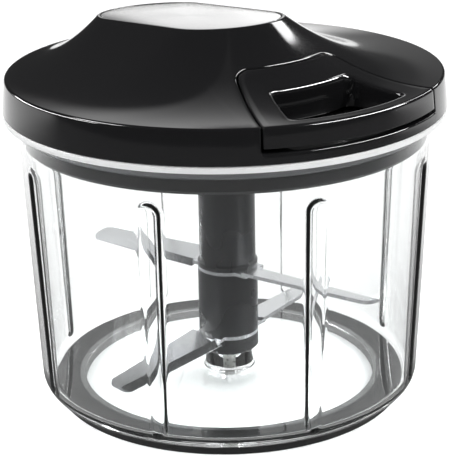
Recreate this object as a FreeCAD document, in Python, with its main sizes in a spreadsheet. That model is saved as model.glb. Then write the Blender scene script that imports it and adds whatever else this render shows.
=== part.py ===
import FreeCAD, Part

import math
import os
import re

import Sketcher

# Pull-string food chopper. Millimetres, +Z up, origin at the middle of the base on the table.
# The handle pulls out towards -Y. The bowl, the blades and the reel share the Z axis.

Vector = FreeCAD.Vector
Placement = FreeCAD.Placement
Rotation = FreeCAD.Rotation
X_AXIS = Vector(1, 0, 0)
Y_AXIS = Vector(0, 1, 0)
Z_AXIS = Vector(0, 0, 1)

# Driving dimensions: alias, value, what it is
SIZES = (
    ("ring_height", 3.1, "non-slip base ring, thickness"),
    ("ring_inset", 3.95, "base ring, how far its upper edge lies inside the bowl's wall"),
    ("ring_flare", 0.9, "base ring, how much wider it is at its top"),
    ("ring_width", 10.4, "base ring, width at its top"),
    ("ring_lip", 2.0, "base ring, width of the lip that locks in the bowl"),
    ("ring_lip_height", 1.0, "base ring, height of that lip"),
    ("bowl_top", 99.3, "bowl, height of its rim above the table"),
    ("rim_reach", 4.25, "bowl, how far its rim flange stands out of the wall"),
    ("rim_thickness", 2.3, "bowl, rim flange thickness"),
    ("wall_top_radius", 68.35, "bowl, outside radius under the flange"),
    ("wall_foot_radius", 64.35, "bowl, outside radius at the floor, before its rounding"),
    ("bowl_wall", 2.4, "bowl, wall thickness"),
    ("bowl_floor", 2.6, "bowl, floor thickness"),
    ("bowl_corner", 4.4, "bowl, outside rounding at the floor"),
    ("cavity_corner", 3.0, "bowl, inside rounding at the floor"),
    ("flute_count", 8, "bowl, number of upright flutes in the wall"),
    ("flute_turn", 32.8, "bowl, direction of the first flute in degrees"),
    ("flute_width", 5.9, "flute, width at its top"),
    ("flute_depth", 1.7, "flute, depth at its top"),
    ("flute_foot_width", 4.0, "flute, width at its foot"),
    ("flute_foot_depth", 1.0, "flute, depth at its foot"),
    ("flute_top_drop", 18.2, "flute, its upper centre below the bowl's rim"),
    ("flute_foot_lift", 5.5, "flute, its lower centre over the bowl's underside"),
    ("boss_wall", 5.0, "bowl, wall of the spindle boss round the pin"),
    ("boss_flare", 1.0, "bowl, how much wider the spindle boss is at its foot"),
    ("boss_height", 6.3, "bowl, height of the spindle boss over the floor"),
    ("pin_radius", 2.5, "steel spindle pin, radius"),
    ("pin_stand", 20.0, "steel spindle pin, length over the boss"),
    ("pin_floor", 1.5, "bowl, thickness left under the pin"),
    ("bush_wall", 1.5, "nylon sleeve on the pin, wall thickness"),
    ("bush_length", 20.0, "nylon sleeve on the pin, length"),
    ("running_gap", 0.05, "radial clearance of a turning fit"),
    ("press_gap", 0.02, "radial clearance drawn between pressed pieces"),
    ("seat_gap", 0.3, "clearance between pieces that move past each other"),
    ("stem_radius", 9.55, "blade stem, radius of its upper part"),
    ("collar_step", 0.65, "blade stem, how much wider it is from the upper blade down"),
    ("collar_height", 1.6, "blade stem, height of its collar over the upper blade"),
    ("stem_chamfer", 0.6, "blade stem, bevel over the collar and at the shoulder"),
    ("stem_turn", 14.5, "blade stem, direction of its hexagon in degrees"),
    ("spigot_wall", 2.8, "blade stem, inner hexagon, wall round the sleeve at its corners"),
    ("foot_floor", 1.0, "stem foot, thickness of its floor"),
    ("foot_chamfer", 1.0, "stem foot, bevel at its lower edge"),
    ("lower_blade_lift", 6.0, "lower blade, height of its underside over the boss"),
    ("blade_spacing", 23.4, "blades, distance between their undersides"),
    ("upper_blade_turn", 104.5, "upper blade, direction in degrees"),
    ("blade_clearance", 3.75, "blades, gap from the tips to the bowl's wall at the floor"),
    ("blade_thickness", 1.2, "blades, sheet thickness"),
    ("neck_share", 0.9, "blades, width of the flat neck as a share of the root"),
    ("neck_length", 2.5, "blades, length of the flat neck outside the hub"),
    ("wing_start", 1.0, "blades, where the wings start outside the hub"),
    ("blade_lead", 6.0, "blades, cutting edge ahead of the middle line, at the root"),
    ("blade_trail", 7.0, "blades, back edge behind the middle line, at the root"),
    ("blade_tip_width", 8.5, "blades, width at the tip"),
    ("tip_chamfer", 1.5, "blades, bevel at the leading corner of the tip"),
    ("blade_pitch", 8.0, "blades, tilt of the wings in degrees, back edge high"),
    ("blade_bevel", 3.0, "blades, width of the ground bevel"),
    ("blade_edge", 0.24, "blades, thickness left at the cutting edge"),
    ("stem_gap", 1.4, "blade stem, gap between its shoulder and the lid base"),
    ("head_radius", 7.4, "blade stem, drive head hexagon, radius over its corners"),
    ("head_height", 6.8, "blade stem, drive head height"),
    ("plug_depth", 10.9, "lid base, how far it reaches into the bowl"),
    ("plug_gap", 0.4, "lid base, clearance to the bowl wall"),
    ("plug_wall", 2.0, "lid base, wall and floor thickness"),
    ("plug_chamfer", 1.2, "lid base, bevel at its lower edge"),
    ("plug_flange", 1.1, "lid base, thickness of the flange on the bowl rim"),
    ("seal_height", 2.6, "seal ring, height"),
    ("seal_depth", 1.6, "seal ring, thickness"),
    ("seal_drop", 4.7, "seal ring, its middle below the bowl's rim"),
    ("seal_stand", 0.15, "seal ring, how far it stands out of the plug"),
    ("seal_chamfer", 0.3, "seal ring, how far its edges lie inside the plug"),
    ("skirt_height", 11.1, "lid, height of its skirt"),
    ("skirt_overlap", 0.2, "lid, how far its lower edge stands out over the bowl's rim"),
    ("lid_taper", 1.1, "lid, how much narrower the skirt is at its upper edge"),
    ("shell_wall", 2.0, "lid, wall thickness"),
    ("hump_rise", 16.1, "lid, height of the grip's top over the skirt where it crosses the axis"),
    ("hump_slope", 0.091, "lid, rise of the grip's top towards the handle"),
    ("hump_radius", 19.7, "lid, half width of the grip's top"),
    ("hump_half", 20.2, "lid, half length of the straight sides of the grip's top"),
    ("hump_back", 19.6, "lid, how far the grip's top lies behind the axis"),
    ("hump_power", 2.43, "lid, how hollow the flanks of the grip are"),
    ("hump_start", 0.5, "lid, fall of its top surface towards the rim"),
    ("edge_half", 0.6, "lid, half length of the two short arcs in its round edge"),
    ("edge_round", 0.8, "lid, rounding of its upper edge"),
    ("plate_inset", 0.9, "steel plate, black border round it"),
    ("plate_thickness", 0.8, "steel plate, thickness"),
    ("plate_sink", 0.15, "steel plate, how far it lies below the border"),
    ("plate_gap", 0.1, "steel plate, clearance round it"),
    ("notch_radius", 35.2, "handle notch, radius of its inner wall"),
    ("notch_angle", 28.3, "handle notch, half of its angle in degrees"),
    ("notch_corner", 4.0, "handle notch, rounding of its inner corners"),
    ("ledge_height", 3.3, "handle notch, height of its floor over the bowl's rim"),
    ("handle_gap", 0.7, "handle, gap to the notch"),
    ("handle_lift", 1.3, "handle, gap under it"),
    ("grip_land", 1.1, "finger opening, distance in front of the handle cover"),
    ("grip_bar", 5.1, "handle, thickness of its bar in front of the finger opening"),
    ("grip_side", 8.8, "finger opening, angle between its side and the notch in degrees"),
    ("grip_corner", 2.6, "finger opening, rounding of its corners"),
    ("cover_margin", 1.3, "handle cover, distance from the handle's inner face"),
    ("cover_depth", 8.2, "handle cover, depth"),
    ("cover_side", 7.3, "handle cover, angle between its side and the notch in degrees"),
    ("cover_thickness", 1.4, "handle cover, thickness"),
    ("knot_room_seat", 1.1, "handle, width of the cover's seat behind the knot chamber"),
    ("knot_room_depth", 6.1, "handle, knot chamber, depth"),
    ("knot_room_angle", 9.0, "handle, knot chamber, half of its angle in degrees"),
    ("knot_room_height", 7.0, "handle, knot chamber, height over the cover"),
    ("grip_screw_x", 10.5, "handle screws, distance from the middle"),
    ("grip_screw_inset", 2.4, "handle screws, distance from the cover's inner edge"),
    ("grip_screw_radius", 1.1, "handle screws, thread radius"),
    ("grip_screw_length", 8.0, "handle screws, length under the head"),
    ("cord_diameter", 1.6, "pull cord, diameter"),
    ("cord_drop", 1.9, "pull cord, its highest turn below the reel cap"),
    ("cord_pitch", 2.1, "pull cord, rise from turn to turn on the reel"),
    ("cord_turns", 2.75, "pull cord, number of turns on the reel"),
    ("bend_inset", 2.5, "pull cord, its bend inside the edge of the reel"),
    ("cord_bend_radius", 5.0, "pull cord, radius of its bend"),
    ("wind_gap", 0.1, "pull cord, clearance to the drum"),
    ("cord_start", 0.4, "pull cord, how far it reaches into the notch at rest"),
    ("knot_radius", 1.9, "pull cord, radius of the knot in the handle"),
    ("knot_gap", 0.1, "knot and washer, clearance in front of each"),
    ("washer_radius", 3.0, "washer under the knot, radius"),
    ("washer_thickness", 0.6, "washer under the knot, thickness"),
    ("eyelet_wall", 1.3, "cord eyelet, wall thickness"),
    ("eyelet_lip", 1.0, "cord eyelet, width of its flange"),
    ("eyelet_stand", 0.2, "cord eyelet, how far it stands out of the wall on both sides"),
    ("eyelet_flange_thickness", 0.8, "cord eyelet, flange thickness"),
    ("hub_wall", 5.0, "drive hub, wall round the corners of the stem's head"),
    ("hub_gap", 0.4, "drive hub, height over the stem's shoulder"),
    ("drive_bush_wall", 1.55, "drive bush, wall thickness"),
    ("drive_bush_flange", 0.8, "drive bush, flange thickness"),
    ("drive_bush_lip", 2.5, "drive bush, width of its flange"),
    ("cup_floor", 1.6, "drive cup, floor thickness"),
    ("cup_wall", 2.4, "drive cup, wall behind the ratchet teeth"),
    ("pawl_room", 1.4, "drive cup, room under the pawls"),
    ("socket_wall", 2.4, "drive cup, wall of the boss round the corners of the stem's head"),
    ("socket_roof", 1.6, "drive cup, thickness over the socket"),
    ("ratchet_root", 19.4, "ratchet, radius at the root of its teeth"),
    ("tooth_depth", 2.0, "ratchet, depth of its teeth"),
    ("tooth_root", 5.0, "ratchet, angle of the root of a tooth in degrees"),
    ("ratchet_teeth", 12, "ratchet, number of teeth"),
    ("ratchet_turn", 35.6, "ratchet, direction of the first steep face in degrees"),
    ("ratchet_ramp", 25.0, "ratchet, angle that a ramp takes in degrees"),
    ("pawl_eye", 2.4, "pawls, radius round the pivot"),
    ("pawl_bite", 0.7, "pawls, how far the tip stays off the root of a tooth"),
    ("pawl_tip", 1.8, "pawls, length of the end face"),
    ("pawl_slack", 7.5, "pawls, angle between the end face and a steep face in degrees"),
    ("pawl_thickness", 2.4, "pawls, thickness"),
    ("pawl_pin_radius", 1.2, "pawl pins, radius"),
    ("reel_gap", 0.7, "reel, gap between its edge and the cord eyelet"),
    ("flange_thickness", 1.6, "reel, flange thickness"),
    ("flange_reach", 7.5, "reel, how far its flanges stand out of the drum"),
    ("drum_wall", 1.4, "reel, drum wall thickness"),
    ("drum_height", 9.0, "reel, height between its flanges"),
    ("reel_hub_wall", 2.45, "reel, wall of its hub"),
    ("reel_hub_height", 3.2, "reel, hub height over the underside"),
    ("cap_thickness", 1.5, "reel cap, thickness"),
    ("cap_lip", 0.8, "reel cap, height of the lip inside the drum"),
    ("cap_lip_wall", 1.6, "reel cap, thickness of that lip"),
    ("axle_radius", 3.0, "reel axle, radius"),
    ("axle_grip", 8.0, "reel axle, length held in the lid"),
    ("axle_boss_wall", 3.5, "lid, wall of the boss that holds the axle"),
    ("reel_bush_wall", 2.0, "reel bush, wall thickness"),
    ("clip_reach", 2.6, "axle clip, how far it stands out of the axle"),
    ("clip_groove", 0.8, "reel axle, depth of the groove for the clip"),
    ("clip_thickness", 0.6, "axle clip, thickness"),
    ("axle_tail", 0.7, "reel axle, length under its clip"),
    ("axle_chamfer", 0.4, "reel axle, bevel at its ends"),
    ("spring_half_turns", 17, "recoil spring, number of half turns"),
    ("spring_strip", 0.4, "recoil spring, strip thickness"),
    ("spring_gap", 0.7, "recoil spring, gap under the reel cap"),
    ("tower_inset", 15.7, "lid screws, distance in from the lid's upper edge"),
    ("tower_front", 25.0, "lid screws, front pair, angle below the X axis in degrees"),
    ("tower_back", 55.0, "lid screws, back pair, angle above the X axis in degrees"),
    ("tower_wall", 1.0, "lid screws, wall of the towers round the heads"),
    ("screw_radius", 1.5, "lid screws, thread radius"),
    ("screw_length", 10.0, "lid screws, length under the head"),
    ("pilot_rest", 0.5, "lid screws, depth of the hole past the tip"),
    ("screw_seat_drop", 3.9, "lid screws, face under the head below the flange's top"),
    ("screw_head_radius", 2.9, "lid screws, head radius"),
    ("screw_head_height", 2.0, "lid screws, head height"),
    ("screw_gap", 0.2, "radial clearance of a hole that a screw passes"),
    ("slot_half", 0.35, "screw heads, half width of the cross slot"),
)

doc = FreeCAD.newDocument("pull_string_chopper")
sheet = doc.addObject("Spreadsheet::Sheet", "Dims")
for row, (alias, number, meaning) in enumerate(SIZES, start=1):
    sheet.set("A%d" % row, meaning)
    sheet.set("B%d" % row, str(number))
    sheet.setAlias("B%d" % row, alias)
doc.recompute()
ALIASES = re.compile(r"\b(%s)\b" % "|".join(alias for alias, number, meaning in SIZES))


def bind(formula):
    """The formula with each size written as a cell of the sheet."""
    return ALIASES.sub(r"Dims.\1", formula)


def value(formula):
    """The number that a formula gives now."""
    return float(sheet.evalExpression(bind(formula)))


# Heights and radii that follow from the driving dimensions, from the table up
RING_RADIUS = "(wall_foot_radius - ring_inset)"
RING_INNER = "(wall_foot_radius - ring_inset - ring_width)"
LIP_OUTER = "(wall_foot_radius - ring_inset - ring_width + ring_lip)"
FLOOR_TOP = "(ring_height + bowl_floor)"
RIM_LOW = "(bowl_top - rim_thickness)"
RIM_RADIUS = "(wall_top_radius + rim_reach)"
FLUTE_TOP = "(bowl_top - flute_top_drop)"
FLUTE_FOOT = "(ring_height + flute_foot_lift)"
PIN_FOOT = "(ring_height + pin_floor)"
BOSS_RADIUS = "(pin_radius + boss_wall)"
BOSS_TOP = "(%s + boss_height)" % FLOOR_TOP
PIN_TOP = "(%s + pin_stand)" % BOSS_TOP
BUSH_RADIUS = "(pin_radius + bush_wall)"
SPIGOT_RADIUS = "(pin_radius + bush_wall + spigot_wall)"
COLLAR_RADIUS = "(stem_radius + collar_step)"
STEM_LOW = "(%s + seat_gap)" % BOSS_TOP
LOWER_BLADE = "(%s + lower_blade_lift)" % BOSS_TOP
LOWER_TOP = "(%s + blade_thickness)" % LOWER_BLADE
UPPER_BLADE = "(%s + blade_spacing)" % LOWER_BLADE
UPPER_TOP = "(%s + blade_thickness)" % UPPER_BLADE
BLADE_RADIUS = "(wall_foot_radius - bowl_wall - blade_clearance)"
PLUG_LOW = "(bowl_top - plug_depth)"
PLUG_FLOOR = "(%s + plug_wall)" % PLUG_LOW
STEM_TOP = "(%s - stem_gap)" % PLUG_LOW
HUB_LOW = "(%s + hub_gap)" % STEM_TOP
SOCKET_TOP = "(%s + head_height + hub_gap)" % STEM_TOP
HUB_RADIUS = "(head_radius + hub_wall)"
BUSH_TOP = "(%s + drive_bush_flange)" % PLUG_FLOOR
CUP_LOW = "(%s + seat_gap)" % BUSH_TOP
CUP_TOP = "(%s + socket_roof + pawl_room + pawl_thickness)" % SOCKET_TOP
CUP_BOSS_RADIUS = "(head_radius + socket_wall)"
RATCHET_TIP = "(ratchet_root - tooth_depth)"
PAWL_PIVOT = "(%s + seat_gap + pawl_eye)" % CUP_BOSS_RADIUS
REEL_LOW = "(%s + seat_gap)" % CUP_TOP
PAWL_LOW = "(%s - pawl_thickness)" % CUP_TOP
DRUM_LOW = "(%s + flange_thickness)" % REEL_LOW
DRUM_TOP = "(%s + drum_height)" % DRUM_LOW
CAP_TOP = "(%s + cap_thickness)" % DRUM_TOP
CORD_LEVEL = "(%s - cord_drop)" % DRUM_TOP
AXLE_BOSS_LOW = "(%s + seat_gap)" % CAP_TOP
FLANGE_TOP = "(bowl_top + plug_flange)"
SKIRT_RADIUS = "(%s + skirt_overlap)" % RIM_RADIUS
LID_RADIUS = "(%s - lid_taper)" % SKIRT_RADIUS
RIM_LEVEL = "(bowl_top + skirt_height)"
HUMP_LEVEL = "(%s + hump_rise)" % RIM_LEVEL
LID_HIGH = "(%s + 12)" % HUMP_LEVEL
LEDGE_LEVEL = "(bowl_top + ledge_height)"
HANDLE_LOW = "(%s + handle_lift)" % LEDGE_LEVEL
HANDLE_INNER = "(notch_radius + handle_gap)"
COVER_INNER = "(%s + cover_margin)" % HANDLE_INNER
COVER_OUTER = "(%s + cover_depth)" % COVER_INNER
KNOT_ROOM_INNER = "(%s + knot_room_seat)" % COVER_INNER
KNOT_ROOM_OUTER = "(%s + knot_room_depth)" % KNOT_ROOM_INNER
GRIP_INNER = "(%s + grip_land)" % COVER_OUTER
GRIP_OUTER = "(%s - grip_bar)" % LID_RADIUS
SHELL_INNER = "(notch_radius - shell_wall)"
EYELET_BORE = "(cord_diameter / 2 + seat_gap)"
EYELET_RADIUS = "(%s + eyelet_wall)" % EYELET_BORE
EYELET_FACE = "(%s - eyelet_stand)" % SHELL_INNER
FLANGE_RADIUS = "(%s - eyelet_flange_thickness - reel_gap)" % EYELET_FACE
DRUM_RADIUS = "(%s - flange_reach)" % FLANGE_RADIUS


def wall_at(height):
    """Outside radius of the bowl wall at a height, as a formula."""
    share = "(%s - ring_height) / (%s - ring_height)" % (height, RIM_LOW)
    return "(wall_foot_radius + (wall_top_radius - wall_foot_radius) * %s)" % share


PLUG_RADIUS = "(%s - bowl_wall - plug_gap)" % wall_at(PLUG_LOW)


def new_body(label):
    body = doc.addObject("PartDesign::Body", label)
    body.Label = label
    return body


def origin_feature(body, role):
    return [item for item in body.Origin.OriginFeatures if item.Role == role][0]


def new_sketch(body, name, role, lift="0", tilt=None):
    """A sketch on one of the body's own planes, raised along the normal, or tilted about X."""
    sketch = body.newObject("Sketcher::SketchObject", name)
    sketch.AttachmentSupport = (origin_feature(body, role), [""])
    sketch.MapMode = "FlatFace"
    if tilt:
        sketch.AttachmentOffset = Placement(Vector(), Rotation(X_AXIS, -value(tilt)))
        sketch.setExpression("AttachmentOffset.Rotation.Angle", bind("-(%s)" % tilt))
    sketch.setExpression("AttachmentOffset.Base.z", bind(lift))
    return sketch


def constrain(sketch, formula, kind, *places):
    """A dimension of a sketch, bound to a formula."""
    index = sketch.addConstraint(Sketcher.Constraint(kind, *places, value(formula)))
    sketch.setExpression("Constraints[%d]" % index, bind(formula))


def pin_point(sketch, item, end, x, y):
    """Ties one end of a line or an arc to its place from the sketch's origin."""
    if x == "0":
        sketch.addConstraint(Sketcher.Constraint("PointOnObject", item, end, -2))
    else:
        constrain(sketch, x, "DistanceX", -1, 1, item, end)
    if y == "0":
        sketch.addConstraint(Sketcher.Constraint("PointOnObject", item, end, -1))
    else:
        constrain(sketch, y, "DistanceY", -1, 1, item, end)


def outline(sketch, corners):
    """A closed outline. A corner is (x, y) or (x, y, radius, side), which starts an arc to the
    next corner: side 1 turns anticlockwise and side -1 clockwise."""
    places = [Vector(value(corner[0]), value(corner[1]), 0) for corner in corners]
    ends = []
    for number, corner in enumerate(corners):
        start = places[number]
        stop = places[(number + 1) % len(corners)]
        if len(corner) == 2:
            item = sketch.addGeometry(Part.LineSegment(start, stop))
            ends.append((item, 1, 2))
            continue
        radius = value(corner[2])
        side = corner[3]
        chord = stop - start
        reach = math.sqrt(max(radius ** 2 - (chord.Length / 2) ** 2, 0))
        normal = Vector(-chord.y, chord.x, 0).normalize()
        centre = (start + stop) * 0.5 + normal * reach * side
        first, last = (start, stop) if side > 0 else (stop, start)
        angles = [math.atan2(point.y - centre.y, point.x - centre.x) for point in (first, last)]
        circle = Part.Circle(centre, Z_AXIS, radius)
        item = sketch.addGeometry(Part.ArcOfCircle(circle, angles[0], angles[1]))
        ends.append((item, 1, 2) if side > 0 else (item, 2, 1))
    for number, (item, start, stop) in enumerate(ends):
        after, after_start, after_stop = ends[(number + 1) % len(ends)]
        sketch.addConstraint(Sketcher.Constraint("Coincident", item, stop, after, after_start))
    for number, corner in enumerate(corners):
        item, start, stop = ends[number]
        pin_point(sketch, item, start, corner[0], corner[1])
        if len(corner) == 4:
            constrain(sketch, corner[2], "Radius", item)


def circles(sketch, items):
    """Circles, each (x, y, radius)."""
    for x, y, radius in items:
        centre = Vector(value(x), value(y), 0)
        item = sketch.addGeometry(Part.Circle(centre, Z_AXIS, value(radius)))
        pin_point(sketch, item, 3, x, y)
        constrain(sketch, radius, "Radius", item)


def hexagon(sketch, radius, turn):
    """A hexagon round the origin, by the radius over its corners."""
    corners = []
    for number in range(6):
        angle = "(%s + %d)" % (turn, 60 * number)
        corners.append(("(%s) * cos(%s)" % (radius, angle), "(%s) * sin(%s)" % (radius, angle)))
    outline(sketch, corners)


def slot(sketch, centre, half, radius):
    """A slot along the sketch's Y axis: two half circles joined by two straight lines."""
    middle = value(centre)
    reach = value(half)
    width = value(radius)
    high = Part.Circle(Vector(0, middle + reach, 0), Z_AXIS, width)
    low = Part.Circle(Vector(0, middle - reach, 0), Z_AXIS, width)
    top = sketch.addGeometry(Part.ArcOfCircle(high, 0, math.pi))
    left = sketch.addGeometry(Part.LineSegment(
        Vector(-width, middle + reach, 0), Vector(-width, middle - reach, 0)))
    bottom = sketch.addGeometry(Part.ArcOfCircle(low, math.pi, 2 * math.pi))
    right = sketch.addGeometry(Part.LineSegment(
        Vector(width, middle - reach, 0), Vector(width, middle + reach, 0)))
    for first, second in ((top, left), (left, bottom), (bottom, right), (right, top)):
        sketch.addConstraint(Sketcher.Constraint("Tangent", first, 2, second, 1))
    sketch.addConstraint(Sketcher.Constraint("PointOnObject", top, 3, -2))
    sketch.addConstraint(Sketcher.Constraint("PointOnObject", bottom, 3, -2))
    constrain(sketch, "(%s) + (%s)" % (centre, half), "DistanceY", -1, 1, top, 3)
    constrain(sketch, "2 * (%s)" % half, "DistanceY", bottom, 3, top, 3)
    constrain(sketch, radius, "Radius", top)


def round_section(sketch, half, radius):
    """A circle in four arcs that pair up with the arcs and the sides of a slot."""
    side = "sqrt(pow(%s; 2) - pow(%s; 2))" % (radius, half)
    outline(sketch, (
        (side, half, radius, 1),
        ("-" + side, half, radius, 1),
        ("-" + side, "-" + half, radius, 1),
        (side, "-" + half, radius, 1),
    ))


def turned(body, name, corners, cut=False):
    """A shape turned about the Z axis, added to the body or cut out of it."""
    sketch = new_sketch(body, name + "_profile", "XZ_Plane")
    outline(sketch, corners)
    kind = "PartDesign::Groove" if cut else "PartDesign::Revolution"
    feature = body.newObject(kind, name)
    feature.Profile = (sketch, [""])
    feature.ReferenceAxis = (sketch, ["V_Axis"])
    feature.Angle = 360
    sketch.Visibility = False
    return feature


def padded(body, name, sketch, height):
    feature = body.newObject("PartDesign::Pad", name)
    feature.Profile = (sketch, [""])
    feature.setExpression("Length", bind(height))
    return feature


def pocketed(body, name, sketch, depth, upwards=True):
    feature = body.newObject("PartDesign::Pocket", name)
    feature.Profile = (sketch, [""])
    feature.setExpression("Length", bind(depth))
    feature.Reversed = upwards
    return feature


def rounded(body, name, base, radius, wanted):
    """Rounds the edges of a feature that a test picks."""
    doc.recompute()
    picks = ["Edge%d" % (number + 1) for number, edge in enumerate(base.Shape.Edges) if wanted(edge)]
    if not picks:
        raise RuntimeError("no edge to round for " + name)
    feature = body.newObject("PartDesign::Fillet", name)
    feature.Base = (base, picks)
    feature.setExpression("Radius", bind(radius))
    return feature


def ring_edge(radius, height):
    """A test that picks a round edge about the Z axis."""
    def wanted(edge):
        if not isinstance(edge.Curve, Part.Circle):
            return False
        same_height = abs(edge.Curve.Center.z - value(height)) < 0.01
        return same_height and abs(edge.Curve.Radius - value(radius)) < 0.01
    return wanted


def upright_edge(radius_low, radius_high):
    """A test that picks the upright edges whose distance from the Z axis lies in a range."""
    def wanted(edge):
        if not isinstance(edge.Curve, Part.Line) or abs(edge.Curve.Direction.z) < 0.99:
            return False
        start = edge.Vertexes[0].Point
        distance = math.hypot(start.x, start.y)
        return value(radius_low) < distance < value(radius_high)
    return wanted


def polar(body, name, originals, count):
    pattern = body.newObject("PartDesign::PolarPattern", name)
    pattern.Originals = originals
    pattern.Axis = (origin_feature(body, "Z_Axis"), [""])
    pattern.Angle = 360
    pattern.setExpression("Occurrences", bind(count))
    body.Tip = pattern
    return pattern


def shared(label, first, second):
    """What two shapes have in common."""
    result = doc.addObject("Part::MultiCommon", label)
    result.Shapes = [first, second]
    result.Label = label
    return result


def cut_out(label, first, others):
    """A shape less the others."""
    tool = others[0]
    if len(others) > 1:
        tool = doc.addObject("Part::MultiFuse", label + "_tools")
        tool.Shapes = others
    result = doc.addObject("Part::Cut", label)
    result.Base = first
    result.Tool = tool
    result.Label = label
    return result


def beside(radius, angle, gap, side):
    """Where a circle meets a line that runs out from the axis, angle degrees from -Y and moved
    sideways into the sector by a gap. Side 1 is towards +X."""
    reach = "sqrt(pow(%s; 2) - pow(%s; 2))" % (radius, gap)
    x = "(%s * sin(%s) - (%s) * cos(%s))" % (reach, angle, gap, angle)
    y = "(-(%s) * cos(%s) - (%s) * sin(%s))" % (reach, angle, gap, angle)
    return ("(%d) * %s" % (side, x), y)


def sector(label, inner, outer, angle, low, height, gap="0"):
    """A piece of a thick ring round the axis, centred on -Y."""
    body = new_body(label)
    sketch = new_sketch(body, label + "_plan", "XY_Plane", low)
    outline(sketch, (
        beside(inner, angle, gap, -1),
        beside(outer, angle, gap, -1) + (outer, 1),
        beside(outer, angle, gap, 1),
        beside(inner, angle, gap, 1) + (inner, -1),
    ))
    body.Tip = padded(body, label + "_pad", sketch, height)
    return body


# Base ring: soft rubber, pressed up into a groove under the bowl
base_ring = new_body("base_ring")
turned(base_ring, "ring_turn", (
    (RING_INNER, "0"),
    (RING_RADIUS + " - ring_flare", "0"),
    (RING_RADIUS, "ring_height"),
    (LIP_OUTER, "ring_height"),
    (LIP_OUTER, "ring_height + ring_lip_height"),
    (RING_INNER, "ring_height + ring_lip_height"),
))


# Bowl: clear moulding. Its flutes are grooves outside and ribs inside.
bowl_blank = new_body("bowl_blank")
blank = turned(bowl_blank, "blank_turn", (
    ("0", "ring_height"),
    ("wall_foot_radius", "ring_height"),
    ("wall_top_radius", RIM_LOW),
    (RIM_RADIUS, RIM_LOW),
    (RIM_RADIUS, "bowl_top"),
    ("0", "bowl_top"),
))
rounded(bowl_blank, "blank_round", blank, "bowl_corner", ring_edge("wall_foot_radius", "ring_height"))
turned(bowl_blank, "blank_ring_groove", (
    (RING_INNER + " - press_gap", "ring_height"),
    (LIP_OUTER + " + press_gap", "ring_height"),
    (LIP_OUTER + " + press_gap", "ring_height + ring_lip_height + press_gap"),
    (RING_INNER + " - press_gap", "ring_height + ring_lip_height + press_gap"),
), cut=True)


def groove_radius(width, depth):
    """Radius of a round groove, from its width and its depth."""
    return "((pow(%s / 2; 2) + pow(%s; 2)) / (2 * %s))" % (width, depth, depth)


FLUTE_TOP_RADIUS = groove_radius("flute_width", "flute_depth")
FLUTE_FOOT_RADIUS = groove_radius("flute_foot_width", "flute_foot_depth")
FLUTE_TOP_X = "(%s + %s - flute_depth)" % (wall_at(FLUTE_TOP), FLUTE_TOP_RADIUS)
FLUTE_FOOT_X = "(%s + %s - flute_foot_depth)" % (wall_at(FLUTE_FOOT), FLUTE_FOOT_RADIUS)
FLUTE_LEAN = "atan((%s - %s) / (%s - %s))" % (FLUTE_TOP_X, FLUTE_FOOT_X, FLUTE_TOP, FLUTE_FOOT)


def flutes(label, extra):
    """Slender cones with round ends that lean with the wall, one for each flute; extra is added
    to their radius."""
    body = new_body(label)
    sketch = new_sketch(body, label + "_profile", "XZ_Plane")
    sketch.AttachmentOffset = Placement(Vector(), Rotation(Z_AXIS, -value(FLUTE_LEAN)))
    sketch.setExpression("AttachmentOffset.Rotation.Angle", bind("-" + FLUTE_LEAN))
    sketch.setExpression("AttachmentOffset.Base.x", bind(FLUTE_FOOT_X))
    sketch.setExpression("AttachmentOffset.Base.y", bind(FLUTE_FOOT))
    foot = "(%s + %s)" % (FLUTE_FOOT_RADIUS, extra)
    top = "(%s + %s)" % (FLUTE_TOP_RADIUS, extra)
    length = "((%s - %s) / cos(%s))" % (FLUTE_TOP, FLUTE_FOOT, FLUTE_LEAN)
    outline(sketch, (
        ("0", "-" + foot, foot, 1),
        (foot, "0"),
        (top, length, top, 1),
        ("0", "%s + %s" % (length, top)),
    ))
    cone = body.newObject("PartDesign::Revolution", label + "_turn")
    cone.Profile = (sketch, [""])
    cone.ReferenceAxis = (sketch, ["V_Axis"])
    cone.Angle = 360
    polar(body, label + "_ring", [cone], "flute_count")
    return body


cavity = new_body("cavity")
cavity_turn = turned(cavity, "cavity_turn", (
    ("0", FLOOR_TOP),
    (wall_at(FLOOR_TOP) + " - bowl_wall", FLOOR_TOP),
    ("wall_top_radius - bowl_wall", RIM_LOW),
    ("wall_top_radius - bowl_wall", "bowl_top + 1"),
    ("0", "bowl_top + 1"),
))
rounded(cavity, "cavity_round", cavity_turn, "cavity_corner",
        ring_edge(wall_at(FLOOR_TOP) + " - bowl_wall", FLOOR_TOP))
boss = cavity.newObject("PartDesign::SubtractiveCone", "boss")
boss.setExpression("Placement.Base.z", bind(FLOOR_TOP))
boss.setExpression("Radius1", bind(BOSS_RADIUS + " + boss_flare"))
boss.setExpression("Radius2", bind(BOSS_RADIUS))
boss.setExpression("Height", bind("boss_height"))
flute_ribs = flutes("flute_ribs", "bowl_wall")
bowl_inside = cut_out("bowl_inside", cavity, [flute_ribs])
flute_grooves = flutes("flute_grooves", "0")

pin_hole = doc.addObject("Part::Cylinder", "pin_hole")
pin_hole.setExpression("Radius", bind("pin_radius + press_gap"))
pin_hole.setExpression("Height", bind("%s - %s + 1" % (BOSS_TOP, PIN_FOOT)))
pin_hole.setExpression("Placement.Base.z", bind(PIN_FOOT))

bowl = cut_out("bowl", bowl_blank, [bowl_inside, flute_grooves, pin_hole])
bowl.Placement = Placement(Vector(), Rotation(Z_AXIS, value("flute_turn")))
bowl.setExpression("Placement.Rotation.Angle", bind("flute_turn"))

spindle_pin = new_body("spindle_pin")
turned(spindle_pin, "pin_turn", (
    ("0", PIN_FOOT),
    ("pin_radius", PIN_FOOT),
    ("pin_radius", PIN_TOP + " - pin_radius * 0.6"),
    ("pin_radius / 2", PIN_TOP),
    ("0", PIN_TOP),
))

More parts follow.
